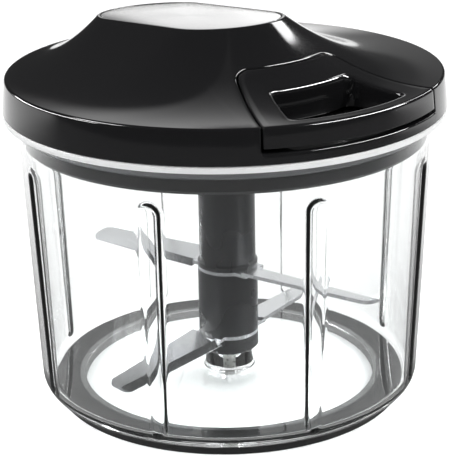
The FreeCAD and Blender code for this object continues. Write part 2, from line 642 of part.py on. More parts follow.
# Nylon sleeve that stays in the blade unit and stands still on the pin
pin_bush = new_body("pin_bush")
turned(pin_bush, "bush_turn", (
    ("pin_radius + running_gap", "0"),
    (BUSH_RADIUS, "0"),
    (BUSH_RADIUS, "bush_length"),
    ("pin_radius + running_gap", "bush_length"),
))
pin_bush.setExpression("Placement.Base.z", bind("%s + foot_floor + seat_gap" % STEM_LOW))


# Blade unit: a foot, two steel blades and two lengths of stem, threaded on one hexagon
BORE = BUSH_RADIUS + " + running_gap"
FOOT_INSIDE = "(%s + foot_floor)" % STEM_LOW
SPIGOT_LOW = "(%s + seat_gap)" % FOOT_INSIDE

stem_foot = new_body("stem_foot")
turned(stem_foot, "foot_turn", (
    ("pin_radius + seat_gap", STEM_LOW),
    (COLLAR_RADIUS + " - foot_chamfer", STEM_LOW),
    (COLLAR_RADIUS, STEM_LOW + " + foot_chamfer"),
    (COLLAR_RADIUS, LOWER_BLADE),
    ("pin_radius + seat_gap", LOWER_BLADE),
))
foot_hex = new_sketch(stem_foot, "foot_hex", "XY_Plane", FOOT_INSIDE)
hexagon(foot_hex, SPIGOT_RADIUS + " + running_gap", "stem_turn")
pocketed(stem_foot, "foot_socket", foot_hex, "%s - %s" % (LOWER_BLADE, FOOT_INSIDE))


def tube_on_hexagon(label, low, high):
    body = new_body(label)
    round_sketch = new_sketch(body, label + "_round", "XY_Plane", low)
    circles(round_sketch, [("0", "0", COLLAR_RADIUS)])
    padded(body, label + "_pad", round_sketch, "%s - %s" % (high, low))
    hex_sketch = new_sketch(body, label + "_hex", "XY_Plane", low)
    hexagon(hex_sketch, SPIGOT_RADIUS + " + running_gap", "stem_turn")
    pocketed(body, label + "_bore", hex_sketch, "%s - %s" % (high, low))
    return body


stem_lower = tube_on_hexagon("stem_lower", LOWER_TOP, UPPER_BLADE)

stem_upper = new_body("stem_upper")
turned(stem_upper, "stem_turn", (
    ("0", UPPER_TOP),
    (COLLAR_RADIUS, UPPER_TOP),
    (COLLAR_RADIUS, UPPER_TOP + " + collar_height"),
    ("stem_radius", UPPER_TOP + " + collar_height + stem_chamfer"),
    ("stem_radius", STEM_TOP + " - stem_chamfer"),
    ("stem_radius - stem_chamfer", STEM_TOP),
    ("0", STEM_TOP),
))
head_sketch = new_sketch(stem_upper, "head_hex", "XY_Plane", STEM_TOP)
hexagon(head_sketch, "head_radius", "stem_turn")
padded(stem_upper, "head", head_sketch, "head_height")
spigot_sketch = new_sketch(stem_upper, "spigot_hex", "XY_Plane", SPIGOT_LOW)
hexagon(spigot_sketch, SPIGOT_RADIUS, "stem_turn")
padded(stem_upper, "spigot", spigot_sketch, "%s - %s" % (UPPER_TOP, SPIGOT_LOW))
bore_sketch = new_sketch(stem_upper, "bore_round", "XY_Plane", SPIGOT_LOW)
circles(bore_sketch, [("0", "0", BORE)])
pocketed(stem_upper, "bore", bore_sketch, "bush_length + 2 * seat_gap")


def blade(label, height, direction):
    """A steel sheet with two wings. The wings are tilted, their back edge high, and the edge
    that leads when the blade turns anticlockwise is ground to a bevel."""
    body = new_body(label)
    hub = new_sketch(body, label + "_hub", "XY_Plane")
    circles(hub, [("0", "0", COLLAR_RADIUS)])
    padded(body, label + "_disc", hub, "blade_thickness")
    neck = new_sketch(body, label + "_neck", "XY_Plane")
    outline(neck, (
        ("0", "-blade_trail * neck_share"),
        (COLLAR_RADIUS + " + neck_length", "-blade_trail * neck_share"),
        (COLLAR_RADIUS + " + neck_length", "blade_lead * neck_share"),
        ("0", "blade_lead * neck_share"),
    ))
    neck_pad = padded(body, label + "_neck_pad", neck, "blade_thickness")
    wing = new_sketch(body, label + "_wing", "XY_Plane", tilt="blade_pitch")
    root = "(%s + wing_start)" % COLLAR_RADIUS
    corner = "blade_tip_width / 3"
    outline(wing, (
        (root, "-blade_trail"),
        ("%s - %s" % (BLADE_RADIUS, corner), "blade_lead - blade_tip_width", corner, 1),
        (BLADE_RADIUS, "blade_lead - blade_tip_width + " + corner),
        (BLADE_RADIUS, "blade_lead - tip_chamfer"),
        (BLADE_RADIUS + " - tip_chamfer", "blade_lead"),
        (root, "blade_lead"),
    ))
    wing_pad = padded(body, label + "_wing_pad", wing, "blade_thickness")
    grind = new_sketch(body, label + "_grind", "YZ_Plane")
    grind.AttachmentOffset = Placement(Vector(), Rotation(Z_AXIS, -value("blade_pitch")))
    grind.setExpression("AttachmentOffset.Rotation.Angle", bind("-blade_pitch"))
    grind.setExpression("AttachmentOffset.Base.z", bind(root))
    outline(grind, (
        ("blade_lead + 1", "blade_edge"),
        ("blade_lead + 1", "blade_thickness + 1"),
        ("blade_lead - blade_bevel", "blade_thickness + 1"),
        ("blade_lead - blade_bevel", "blade_thickness"),
        ("blade_lead", "blade_edge"),
    ))
    grind_cut = pocketed(body, label + "_bevel", grind, BLADE_RADIUS)
    polar(body, label + "_wings", [neck_pad, wing_pad, grind_cut], "2")
    hole = new_sketch(body, label + "_hole", "XY_Plane")
    hexagon(hole, SPIGOT_RADIUS + " + running_gap", "(stem_turn - %s)" % direction)
    body.Tip = pocketed(body, label + "_hex_hole", hole, "blade_thickness")
    body.Placement = Placement(Vector(), Rotation(Z_AXIS, value(direction)))
    body.setExpression("Placement.Rotation.Angle", bind(direction))
    body.setExpression("Placement.Base.z", bind(height))
    return body


upper_blade = blade("upper_blade", UPPER_BLADE, "upper_blade_turn")
lower_blade = blade("lower_blade", LOWER_BLADE, "(upper_blade_turn - 90)")


# Lid base: the black plug that closes the lid from below and carries the drive
TOWER_CIRCLE = "(%s - tower_inset)" % LID_RADIUS
TOWER_RADIUS = "(screw_head_radius + seat_gap + tower_wall)"
SCREW_SEAT = "(%s - screw_seat_drop)" % FLANGE_TOP
TOWERS = tuple(
    ("(%d) * %s * cos(%s)" % (side, TOWER_CIRCLE, angle),
     "(%d) * %s * sin(%s)" % (lift, TOWER_CIRCLE, angle))
    for side, lift, angle in (
        (1, -1, "tower_front"), (-1, -1, "tower_front"), (1, 1, "tower_back"), (-1, 1, "tower_back")))
PLUG_BORE = "(%s + running_gap + drive_bush_wall)" % HUB_RADIUS
SEAL_LOW = "(bowl_top - seal_drop - seal_height / 2)"
SEAL_HIGH = "(%s + seal_height)" % SEAL_LOW
SEAL_ROOT = "(%s - seal_depth)" % PLUG_RADIUS

lid_base = new_body("lid_base")
plug = turned(lid_base, "plug_turn", (
    (PLUG_BORE + " + press_gap", PLUG_LOW),
    (PLUG_RADIUS + " - plug_chamfer", PLUG_LOW),
    (PLUG_RADIUS, PLUG_LOW + " + plug_chamfer"),
    (PLUG_RADIUS, SEAL_LOW + " - press_gap"),
    (SEAL_ROOT, SEAL_LOW + " - press_gap"),
    (SEAL_ROOT, SEAL_HIGH + " + press_gap"),
    (PLUG_RADIUS, SEAL_HIGH + " + press_gap"),
    (PLUG_RADIUS, "bowl_top"),
    (LID_RADIUS + " - shell_wall - seat_gap", "bowl_top"),
    (LID_RADIUS + " - shell_wall - seat_gap", FLANGE_TOP),
    (SEAL_ROOT + " - plug_wall", FLANGE_TOP),
    (SEAL_ROOT + " - plug_wall", PLUG_FLOOR),
    (PLUG_BORE + " + press_gap", PLUG_FLOOR),
))
tower_sketch = new_sketch(lid_base, "tower_plan", "XY_Plane", PLUG_LOW)
circles(tower_sketch, [(x, y, TOWER_RADIUS) for x, y in TOWERS])
padded(lid_base, "towers", tower_sketch, "%s - %s" % (FLANGE_TOP, PLUG_LOW))
well_sketch = new_sketch(lid_base, "well_plan", "XY_Plane", PLUG_LOW)
circles(well_sketch, [(x, y, "screw_head_radius + seat_gap") for x, y in TOWERS])
pocketed(lid_base, "wells", well_sketch, "%s - %s" % (SCREW_SEAT, PLUG_LOW))
clear_sketch = new_sketch(lid_base, "clear_plan", "XY_Plane", PLUG_LOW)
circles(clear_sketch, [(x, y, "screw_radius + screw_gap") for x, y in TOWERS])
pocketed(lid_base, "clear_holes", clear_sketch, "%s - %s" % (FLANGE_TOP, PLUG_LOW))

lid_seal = new_body("lid_seal")
turned(lid_seal, "seal_turn", (
    (SEAL_ROOT + " + press_gap", SEAL_LOW),
    (PLUG_RADIUS + " - seal_chamfer", SEAL_LOW),
    (PLUG_RADIUS + " + seal_stand", SEAL_LOW + " + seal_height / 4"),
    (PLUG_RADIUS + " + seal_stand", SEAL_HIGH + " - seal_height / 4"),
    (PLUG_RADIUS + " - seal_chamfer", SEAL_HIGH),
    (SEAL_ROOT + " + press_gap", SEAL_HIGH),
))

drive_bush = new_body("drive_bush")
turned(drive_bush, "drive_bush_turn", (
    (HUB_RADIUS + " + running_gap", PLUG_LOW),
    (PLUG_BORE, PLUG_LOW),
    (PLUG_BORE, PLUG_FLOOR),
    (PLUG_BORE + " + drive_bush_lip", PLUG_FLOOR),
    (PLUG_BORE + " + drive_bush_lip", BUSH_TOP),
    (HUB_RADIUS + " + running_gap", BUSH_TOP),
))


def screw(label, radius, length, head_radius, head_height, seat, places):
    """Pan-head screws that point up, with a cross slot in the head. All share one node."""
    body = new_body(label)
    low = "%s - %s" % (seat, head_height)
    heads = new_sketch(body, label + "_heads", "XY_Plane", low)
    circles(heads, [(x, y, head_radius) for x, y in places])
    padded(body, label + "_head_pad", heads, head_height)
    shanks = new_sketch(body, label + "_shanks", "XY_Plane", low)
    circles(shanks, [(x, y, radius) for x, y in places])
    padded(body, label + "_shank_pad", shanks, "%s + %s" % (length, head_height))
    reach = "0.7 * (%s)" % head_radius
    for name, across, along in (("_slot_x", reach, "slot_half"), ("_slot_y", "slot_half", reach)):
        slots = new_sketch(body, label + name, "XY_Plane", low)
        for x, y in places:
            outline(slots, (
                ("%s - %s" % (x, across), "%s - %s" % (y, along)),
                ("%s + %s" % (x, across), "%s - %s" % (y, along)),
                ("%s + %s" % (x, across), "%s + %s" % (y, along)),
                ("%s - %s" % (x, across), "%s + %s" % (y, along)),
            ))
        body.Tip = pocketed(body, label + name + "_cut", slots, "0.6 * (%s)" % head_height)
    return body


base_screws = screw("base_screws", "screw_radius", "screw_length", "screw_head_radius",
                    "screw_head_height", SCREW_SEAT, TOWERS)


# Lid shell: a skirt, and a hollow-flanked grip whose flat top rises towards the handle
LEVELS = (0.0, 0.2, 0.4, 0.6, 0.75, 0.88, 1.0)


def lid_form(label, inset, low):
    """The outside of the lid as a solid, or its inside where inset is the wall. The flanks run
    through slot-shaped sections from the round rim to the grip's top."""
    body = new_body(label)
    sections = []
    for number, share in enumerate(LEVELS):
        rise = "pow(%s; hump_power)" % share
        lift = "%s + %s * hump_rise + %s * hump_start - %s" % (
            RIM_LEVEL, rise, share * (1 - share), inset)
        tilt = "atan(%s * hump_slope)" % rise if share else None
        sketch = new_sketch(body, "%s_section_%d" % (label, number), "XY_Plane", lift, tilt)
        if share:
            radius = "(%s * %s + hump_radius * %s - %s)" % (LID_RADIUS, 1 - share, share, inset)
            half = "edge_half * %s + hump_half * %s" % (1 - share, share)
            slot(sketch, "hump_back * %s" % share, half, radius)
        else:
            round_section(sketch, "edge_half", "(%s - %s)" % (LID_RADIUS, inset))
        sections.append(sketch)
    loft = body.newObject("PartDesign::AdditiveLoft", label + "_loft")
    loft.Profile = (sections[0], [""])
    loft.Sections = sections[1:]
    body.Tip = turned(body, label + "_skirt", (
        ("0", low),
        ("%s - %s" % (SKIRT_RADIUS, inset), low),
        ("%s - %s" % (LID_RADIUS, inset), "%s - %s" % (RIM_LEVEL, inset)),
        ("0", "%s - %s" % (RIM_LEVEL, inset)),
    ))
    return body


lid_outside = lid_form("lid_outside", "0", "bowl_top")
lid_outside.Tip = turned(lid_outside, "rim_round", (
    (LID_RADIUS + " - edge_round", RIM_LEVEL + " + 0.02", "edge_round * 1.1", -1),
    (LID_RADIUS + " + 0.1", RIM_LEVEL + " - edge_round"),
    (SKIRT_RADIUS + " + edge_round", RIM_LEVEL + " - edge_round"),
    (SKIRT_RADIUS + " + edge_round", RIM_LEVEL + " + edge_round"),
    (LID_RADIUS + " - edge_round", RIM_LEVEL + " + edge_round"),
), cut=True)
lid_hollow = lid_form("lid_hollow", "shell_wall", "bowl_top - 1")

PAST_SKIRT = "(%s + 5)" % SKIRT_RADIUS
notch = sector("notch", "notch_radius", PAST_SKIRT, "notch_angle", LEDGE_LEVEL,
               "%s - %s" % (LID_HIGH, LEDGE_LEVEL))
doc.recompute()
rounded(notch, "notch_round", notch.Tip, "notch_corner",
        upright_edge("notch_radius - 1", "notch_radius + 1"))
notch_walls = sector("notch_walls", SHELL_INNER, PAST_SKIRT, "notch_angle",
                     LEDGE_LEVEL + " - shell_wall", "%s - %s" % (LID_HIGH, LEDGE_LEVEL),
                     gap="(-shell_wall)")

lid_bosses = new_body("lid_bosses")
boss_sketch = new_sketch(lid_bosses, "boss_plan", "XY_Plane", FLANGE_TOP)
circles(boss_sketch, [(x, y, TOWER_RADIUS) for x, y in TOWERS])
padded(lid_bosses, "boss_pad", boss_sketch, "%s - %s" % (LID_HIGH, FLANGE_TOP))
axle_boss = doc.addObject("Part::Cylinder", "axle_boss")
axle_boss.setExpression("Radius", bind("axle_radius + axle_boss_wall"))
axle_boss.setExpression("Height", bind("%s - %s" % (LID_HIGH, AXLE_BOSS_LOW)))
axle_boss.setExpression("Placement.Base.z", bind(AXLE_BOSS_LOW))
lid_room = cut_out("lid_room", lid_hollow, [notch_walls, lid_bosses, axle_boss])

pilot_holes = new_body("pilot_holes")
pilot_sketch = new_sketch(pilot_holes, "pilot_plan", "XY_Plane", FLANGE_TOP + " - 0.5")
circles(pilot_sketch, [(x, y, "screw_radius + press_gap") for x, y in TOWERS])
padded(pilot_holes, "pilot_pad", pilot_sketch,
       "0.5 + screw_length - screw_seat_drop + pilot_rest")
axle_hole = doc.addObject("Part::Cylinder", "axle_hole")
axle_hole.setExpression("Radius", bind("axle_radius + press_gap"))
axle_hole.setExpression("Height", bind("axle_grip + 1"))
axle_hole.setExpression("Placement.Base.z", bind(AXLE_BOSS_LOW + " - 1"))

plate_recess = new_body("plate_recess")
recess_sketch = new_sketch(plate_recess, "recess_plan", "XY_Plane",
                           HUMP_LEVEL + " - plate_thickness - plate_sink", "atan(hump_slope)")
slot(recess_sketch, "hump_back", "hump_half", "hump_radius - plate_inset")
padded(plate_recess, "recess_pad", recess_sketch, "2 * plate_thickness + 2 * plate_sink")

eyelet_hole = doc.addObject("Part::Cylinder", "eyelet_hole")
eyelet_hole.Placement = Placement(Vector(), Rotation(X_AXIS, 90))
eyelet_hole.setExpression("Radius", bind(EYELET_RADIUS + " + press_gap"))
eyelet_hole.setExpression("Height", bind("3 * shell_wall"))
eyelet_hole.setExpression("Placement.Base.y", bind("shell_wall - " + SHELL_INNER))
eyelet_hole.setExpression("Placement.Base.z", bind(CORD_LEVEL))

lid_shell = cut_out("lid_shell", lid_outside,
                    [lid_room, notch, pilot_holes, axle_hole, plate_recess, eyelet_hole])

top_plate = new_body("top_plate")
plate_sketch = new_sketch(top_plate, "plate_plan", "XY_Plane",
                          HUMP_LEVEL + " - plate_thickness - plate_sink", "atan(hump_slope)")
slot(plate_sketch, "hump_back", "hump_half", "hump_radius - plate_inset - plate_gap")
padded(top_plate, "plate_pad", plate_sketch, "plate_thickness")

cord_eyelet = new_body("cord_eyelet")
turned(cord_eyelet, "eyelet_turn", (
    (EYELET_BORE, EYELET_FACE + " - eyelet_flange_thickness"),
    (EYELET_RADIUS + " + eyelet_lip", EYELET_FACE + " - eyelet_flange_thickness"),
    (EYELET_RADIUS + " + eyelet_lip", EYELET_FACE),
    (EYELET_RADIUS, EYELET_FACE),
    (EYELET_RADIUS, "notch_radius + eyelet_stand"),
    (EYELET_BORE, "notch_radius + eyelet_stand"),
))
cord_eyelet.Placement = Placement(Vector(), Rotation(X_AXIS, 90))
cord_eyelet.setExpression("Placement.Base.z", bind(CORD_LEVEL))


# Drive: a hub that turns in the lid base, with a hexagon socket below and a ratchet cup above
drive_cup = new_body("drive_cup")
turned(drive_cup, "cup_turn", (
    ("0", HUB_LOW),
    (HUB_RADIUS, HUB_LOW),
    (HUB_RADIUS, CUP_LOW),
    ("ratchet_root + cup_wall", CUP_LOW),
    ("ratchet_root + cup_wall", CUP_TOP),
    (RATCHET_TIP, CUP_TOP),
    (RATCHET_TIP, CUP_LOW + " + cup_floor"),
    (CUP_BOSS_RADIUS, CUP_LOW + " + cup_floor"),
    (CUP_BOSS_RADIUS, SOCKET_TOP + " + socket_roof"),
    ("0", SOCKET_TOP + " + socket_roof"),
))
socket_sketch = new_sketch(drive_cup, "socket_hex", "XY_Plane", HUB_LOW)
hexagon(socket_sketch, "head_radius + seat_gap * 1.2", "stem_turn")
pocketed(drive_cup, "socket", socket_sketch, "%s - %s" % (SOCKET_TOP, HUB_LOW))
tooth_sketch = new_sketch(drive_cup, "tooth_plan", "XY_Plane", CUP_LOW + " + cup_floor")
INSIDE = "(%s - 0.3)" % RATCHET_TIP
outline(tooth_sketch, (
    ("%s * cos(ratchet_turn)" % INSIDE, "%s * sin(ratchet_turn)" % INSIDE),
    ("ratchet_root * cos(ratchet_turn)", "ratchet_root * sin(ratchet_turn)"),
    ("ratchet_root * cos(ratchet_turn - tooth_root)",
     "ratchet_root * sin(ratchet_turn - tooth_root)"),
    ("%s * cos(ratchet_turn - ratchet_ramp)" % INSIDE,
     "%s * sin(ratchet_turn - ratchet_ramp)" % INSIDE),
))
tooth = pocketed(drive_cup, "tooth", tooth_sketch, "%s - %s" % (CUP_TOP, CUP_LOW))
polar(drive_cup, "teeth", [tooth], "ratchet_teeth")


# Pawls: two small arms under the reel that push the ratchet when the cord is pulled
def pawl(label, turn):
    body = new_body(label)
    plan = new_sketch(body, label + "_plan", "XY_Plane", PAWL_LOW)
    angle = "(ratchet_turn - pawl_slack)"
    reach = "(ratchet_root - pawl_bite)"
    outline(plan, (
        (PAWL_PIVOT + " - pawl_eye", "0", "pawl_eye", 1),
        (PAWL_PIVOT, "-pawl_eye", "pawl_eye", 1),
        (PAWL_PIVOT + " + pawl_eye", "0"),
        ("%s * cos%s" % (reach, angle), "%s * sin%s" % (reach, angle)),
        ("(%s - pawl_tip) * cos%s" % (reach, angle), "(%s - pawl_tip) * sin%s" % (reach, angle)),
    ))
    padded(body, label + "_pad", plan, "pawl_thickness")
    eye = new_sketch(body, label + "_eye", "XY_Plane", PAWL_LOW)
    circles(eye, [(PAWL_PIVOT, "0", "pawl_pin_radius + running_gap")])
    pocketed(body, label + "_bore", eye, "pawl_thickness")
    body.Placement = Placement(Vector(), Rotation(Z_AXIS, turn))
    return body


pawl_a = pawl("pawl_a", 0)
pawl_b = pawl("pawl_b", 180)

PIN_PLACES = ((PAWL_PIVOT, "0"), ("-" + PAWL_PIVOT, "0"))
pawl_pins = new_body("pawl_pins")
pins_sketch = new_sketch(pawl_pins, "pins_plan", "XY_Plane", PAWL_LOW)
circles(pins_sketch, [(x, y, "pawl_pin_radius") for x, y in PIN_PLACES])
padded(pawl_pins, "pins_pad", pins_sketch, "pawl_thickness + seat_gap + flange_thickness")


# Reel: the drum with its lower flange; the recoil spring lies inside the drum
REEL_BORE = "(axle_radius + running_gap + reel_bush_wall)"
reel = new_body("reel")
turned(reel, "reel_turn", (
    (REEL_BORE + " + press_gap", REEL_LOW),
    (FLANGE_RADIUS, REEL_LOW),
    (FLANGE_RADIUS, DRUM_LOW),
    (DRUM_RADIUS, DRUM_LOW),
    (DRUM_RADIUS, DRUM_TOP),
    (DRUM_RADIUS + " - drum_wall", DRUM_TOP),
    (DRUM_RADIUS + " - drum_wall", DRUM_LOW),
    (REEL_BORE + " + reel_hub_wall", DRUM_LOW),
    (REEL_BORE + " + reel_hub_wall", REEL_LOW + " + reel_hub_height"),
    (REEL_BORE + " + press_gap", REEL_LOW + " + reel_hub_height"),
))
pin_seats = new_sketch(reel, "pin_seats", "XY_Plane", REEL_LOW)
circles(pin_seats, [(x, y, "pawl_pin_radius + press_gap") for x, y in PIN_PLACES])
pocketed(reel, "pin_seat_holes", pin_seats, "flange_thickness")

reel_cap = new_body("reel_cap")
turned(reel_cap, "cap_turn", (
    ("axle_radius + seat_gap", DRUM_TOP),
    (DRUM_RADIUS + " - drum_wall - cap_lip_wall", DRUM_TOP),
    (DRUM_RADIUS + " - drum_wall - cap_lip_wall", DRUM_TOP + " - cap_lip"),
    (DRUM_RADIUS + " - drum_wall - press_gap", DRUM_TOP + " - cap_lip"),
    (DRUM_RADIUS + " - drum_wall - press_gap", DRUM_TOP),
    (FLANGE_RADIUS, DRUM_TOP),
    (FLANGE_RADIUS, CAP_TOP),
    ("axle_radius + seat_gap", CAP_TOP),
))

reel_bush = new_body("reel_bush")
turned(reel_bush, "reel_bush_turn", (
    ("axle_radius + running_gap", REEL_LOW),
    (REEL_BORE, REEL_LOW),
    (REEL_BORE, REEL_LOW + " + reel_hub_height"),
    ("axle_radius + running_gap", REEL_LOW + " + reel_hub_height"),
))

CLIP_TOP = "(%s - seat_gap)" % REEL_LOW
CLIP_LOW = "(%s - clip_thickness)" % CLIP_TOP
AXLE_LOW = "(%s - axle_tail)" % CLIP_LOW
AXLE_TOP = "(%s + axle_grip)" % AXLE_BOSS_LOW
reel_axle = new_body("reel_axle")
turned(reel_axle, "axle_turn", (
    ("0", AXLE_LOW),
    ("axle_radius - axle_chamfer", AXLE_LOW),
    ("axle_radius", AXLE_LOW + " + axle_chamfer"),
    ("axle_radius", CLIP_LOW + " - press_gap"),
    ("axle_radius - clip_groove", CLIP_LOW + " - press_gap"),
    ("axle_radius - clip_groove", CLIP_TOP + " + press_gap"),
    ("axle_radius", CLIP_TOP + " + press_gap"),
    ("axle_radius", AXLE_TOP + " - axle_chamfer"),
    ("axle_radius - axle_chamfer", AXLE_TOP),
    ("0", AXLE_TOP),
))

axle_clip = new_body("axle_clip")
clip_sketch = new_sketch(axle_clip, "clip_plan", "XY_Plane", CLIP_LOW)
circles(clip_sketch, [("0", "0", "axle_radius + clip_reach"),
                      ("0", "0", "axle_radius - clip_groove + press_gap")])
padded(axle_clip, "clip_pad", clip_sketch, "clip_thickness")
mouth = new_sketch(axle_clip, "clip_mouth", "XY_Plane", CLIP_LOW)
outline(mouth, (
    ("0", "-axle_radius * 0.6"),
    ("axle_radius + clip_reach + 1", "-axle_radius * 0.6"),
    ("axle_radius + clip_reach + 1", "axle_radius * 0.6"),
    ("0", "axle_radius * 0.6"),
))
pocketed(axle_clip, "clip_cut", mouth, "clip_thickness")


# Recoil spring: one flat steel strip wound in half circles whose centres change sides
def spiral_strip():
    low = value("%s + reel_hub_height + seat_gap" % REEL_LOW)
    high = value("%s - cap_lip - spring_gap" % DRUM_TOP)
    inner = []
    outer = []
    radius = value("axle_radius + seat_gap")
    strip = value("spring_strip")
    half_turns = int(value("spring_half_turns"))
    room = value(DRUM_RADIUS + " - drum_wall - seat_gap") - strip - radius
    step = 2 * room / (half_turns - 1)
    centre = 0.0
    for number in range(half_turns):
        side = 1 if number % 2 == 0 else -1
        for edges, reach in ((inner, radius), (outer, radius + strip)):
            start = Vector(centre + side * reach, 0, 0)
            middle = Vector(centre, side * reach, 0)
            stop = Vector(centre - side * reach, 0, 0)
            edges.append(Part.Arc(start, middle, stop).toShape())
        centre += side * step / 2
        radius += step / 2
    first = Part.LineSegment(inner[0].Vertexes[0].Point, outer[0].Vertexes[0].Point).toShape()
    last = Part.LineSegment(inner[-1].Vertexes[-1].Point, outer[-1].Vertexes[-1].Point).toShape()
    wire = Part.Wire(Part.__sortEdges__(inner + [last] + outer + [first]))
    strip_solid = Part.Face(wire).extrude(Vector(0, 0, high - low))
    strip_solid.translate(Vector(0, 0, low))
    return strip_solid


recoil_spring = doc.addObject("Part::Feature", "recoil_spring")
recoil_spring.Label = "recoil_spring"
recoil_spring.Shape = spiral_strip()


# Pull cord: one layer wound on the drum, then a run out through the eyelet to the handle
def arc_from(start, tangent, stop):
    """The arc that leaves start along a tangent and ends at stop."""
    chord = stop - start
    along = tangent.dot(chord)
    across = chord - tangent * along
    if across.Length < 1e-9:
        return Part.LineSegment(start, stop).toShape()
    across.normalize()
    half = math.atan2(chord.dot(across), along)
    radius = chord.Length / (2 * math.sin(half))
    centre = start + across * radius
    middle = centre - across * radius * math.cos(half) + tangent * radius * math.sin(half)
    return Part.Arc(start, middle, stop).toShape()


def biarc(start, start_tangent, stop, stop_tangent):
    """Two arcs that leave and arrive along the given tangents and share one where they meet."""
    chord = stop - start
    both = start_tangent + stop_tangent
    spread = 2 * (1 - start_tangent.dot(stop_tangent))
    along = chord.dot(both)
    reach = (math.sqrt(along ** 2 + spread * chord.dot(chord)) - along) / spread
    meeting = (start + stop + (start_tangent - stop_tangent) * reach) * 0.5
    first = arc_from(start, start_tangent, meeting)
    second = arc_from(stop, stop_tangent * -1, meeting)
    return [first, Part.Arc(meeting, second.valueAt(
        (second.FirstParameter + second.LastParameter) / 2), stop).toShape()]


RUN_END = "(notch_radius + cord_start)"
wind_radius = value(DRUM_RADIUS + " + cord_diameter / 2 + wind_gap")
bend_distance = value(FLANGE_RADIUS + " - bend_inset")
leave_angle = -math.pi / 2 - math.acos(wind_radius / bend_distance)


def wound(turn):
    """Place and direction of the cord on the drum, a number of turns before it leaves."""
    angle = leave_angle - 2 * math.pi * turn
    climb = value("cord_pitch") / (2 * math.pi) if turn else 0
    place = Vector(wind_radius * math.cos(angle), wind_radius * math.sin(angle),
                   value(CORD_LEVEL) - value("cord_pitch") * turn)
    direction = Vector(-wind_radius * math.sin(angle), wind_radius * math.cos(angle), climb)
    return place, direction.normalize()


def cord_route():
    edges = []
    for quarter in range(int(value("cord_turns") * 4), 0, -1):
        edges += biarc(*wound(quarter / 4), *wound((quarter - 1) / 4))
    leave_point, incoming = wound(0)
    corner = Vector(0, -bend_distance, value(CORD_LEVEL))
    outgoing = Vector(0, -1, 0)
    turn_angle = incoming.getAngle(outgoing)
    set_back = value("cord_bend_radius") * math.tan(turn_angle / 2)
    bend_start = corner - incoming * set_back
    bend_stop = corner + outgoing * set_back
    run_end = Vector(0, -value(RUN_END), value(CORD_LEVEL))
    edges.append(Part.LineSegment(leave_point, bend_start).toShape())
    edges.append(arc_from(bend_start, incoming, bend_stop))
    edges.append(Part.LineSegment(bend_stop, run_end).toShape())
    print("cord: on the drum %.1f turns at radius %.2f, gap between turns %.2f" % (
        value("cord_turns"), wind_radius, value("cord_pitch - cord_diameter")))
    print("cord: bend radius %.1f, turn %.0f degrees, straight after it %.1f" % (
        value("cord_bend_radius"), math.degrees(turn_angle), (run_end - bend_stop).Length))
    return edges


def tube(edges, diameter):
    """A round tube along joined edges, with its volume set against section times length."""
    path = Part.Wire(edges)
    start = edges[0].Vertexes[0].Point
    tangent = edges[0].tangentAt(edges[0].FirstParameter)
    section = Part.Wire(Part.Circle(start, tangent, diameter / 2).toShape())
    solid = path.makePipeShell([section], True, True)
    expected = math.pi * diameter ** 2 / 4 * path.Length
    print("cord: length %.1f, volume %.1f, section times length %.1f" % (
        path.Length, solid.Volume, expected))
    return solid


pull_cord = doc.addObject("Part::Feature", "pull_cord")
pull_cord.Label = "pull_cord"
pull_cord.Shape = tube(cord_route(), value("cord_diameter"))

KNOT_PLACE = "(%s + 2 * knot_gap + washer_thickness + knot_radius)" % KNOT_ROOM_INNER
cord_lead = doc.addObject("Part::Cylinder", "cord_lead")
cord_lead.Label = "cord_lead"
cord_lead.Placement = Placement(Vector(), Rotation(X_AXIS, 90))
cord_lead.setExpression("Radius", bind("cord_diameter / 2"))
cord_lead.setExpression("Height", bind("%s - %s - knot_radius * 0.9" % (KNOT_PLACE, RUN_END)))
cord_lead.setExpression("Placement.Base.y", bind("-" + RUN_END))
cord_lead.setExpression("Placement.Base.z", bind(CORD_LEVEL))

knot_ball = doc.addObject("Part::Sphere", "knot_ball")
knot_ball.setExpression("Radius", bind("knot_radius"))
knot_ball.setExpression("Placement.Base.y", bind("-" + KNOT_PLACE))
knot_ball.setExpression("Placement.Base.z", bind(CORD_LEVEL))
knot_hole = doc.addObject("Part::Cylinder", "knot_hole")
knot_hole.Placement = Placement(Vector(), Rotation(X_AXIS, 90))
knot_hole.setExpression("Radius", bind("cord_diameter / 2"))
knot_hole.setExpression("Height", bind("knot_radius"))
knot_hole.setExpression("Placement.Base.y", bind("-(%s - knot_radius * 1.9)" % KNOT_PLACE))
knot_hole.setExpression("Placement.Base.z", bind(CORD_LEVEL))
cord_knot = cut_out("cord_knot", knot_ball, [knot_hole])

cord_washer = new_body("cord_washer")
WASHER_FACE = "(%s + knot_gap)" % KNOT_ROOM_INNER
turned(cord_washer, "washer_turn", (
    ("cord_diameter / 2 + seat_gap", WASHER_FACE),
    ("washer_radius", WASHER_FACE),
    ("washer_radius", WASHER_FACE + " + washer_thickness"),
    ("cord_diameter / 2 + seat_gap", WASHER_FACE + " + washer_thickness"),
))
cord_washer.Placement = Placement(Vector(), Rotation(X_AXIS, 90))
cord_washer.setExpression("Placement.Base.z", bind(CORD_LEVEL))


# Handle: the piece of the lid's form that fills the notch, with a finger opening
GRIP_ANGLE = "(notch_angle - grip_side)"
COVER_ANGLE = "(notch_angle - cover_side)"
handle_block = sector("handle_block", HANDLE_INNER, PAST_SKIRT, "notch_angle",
                      HANDLE_LOW, "%s - %s" % (LID_HIGH, HANDLE_LOW), gap="handle_gap")
doc.recompute()
rounded(handle_block, "handle_round", handle_block.Tip, "notch_corner - handle_gap",
        upright_edge(HANDLE_INNER + " - 1", HANDLE_INNER + " + 1"))
handle_form = shared("handle_form", lid_outside, handle_block)

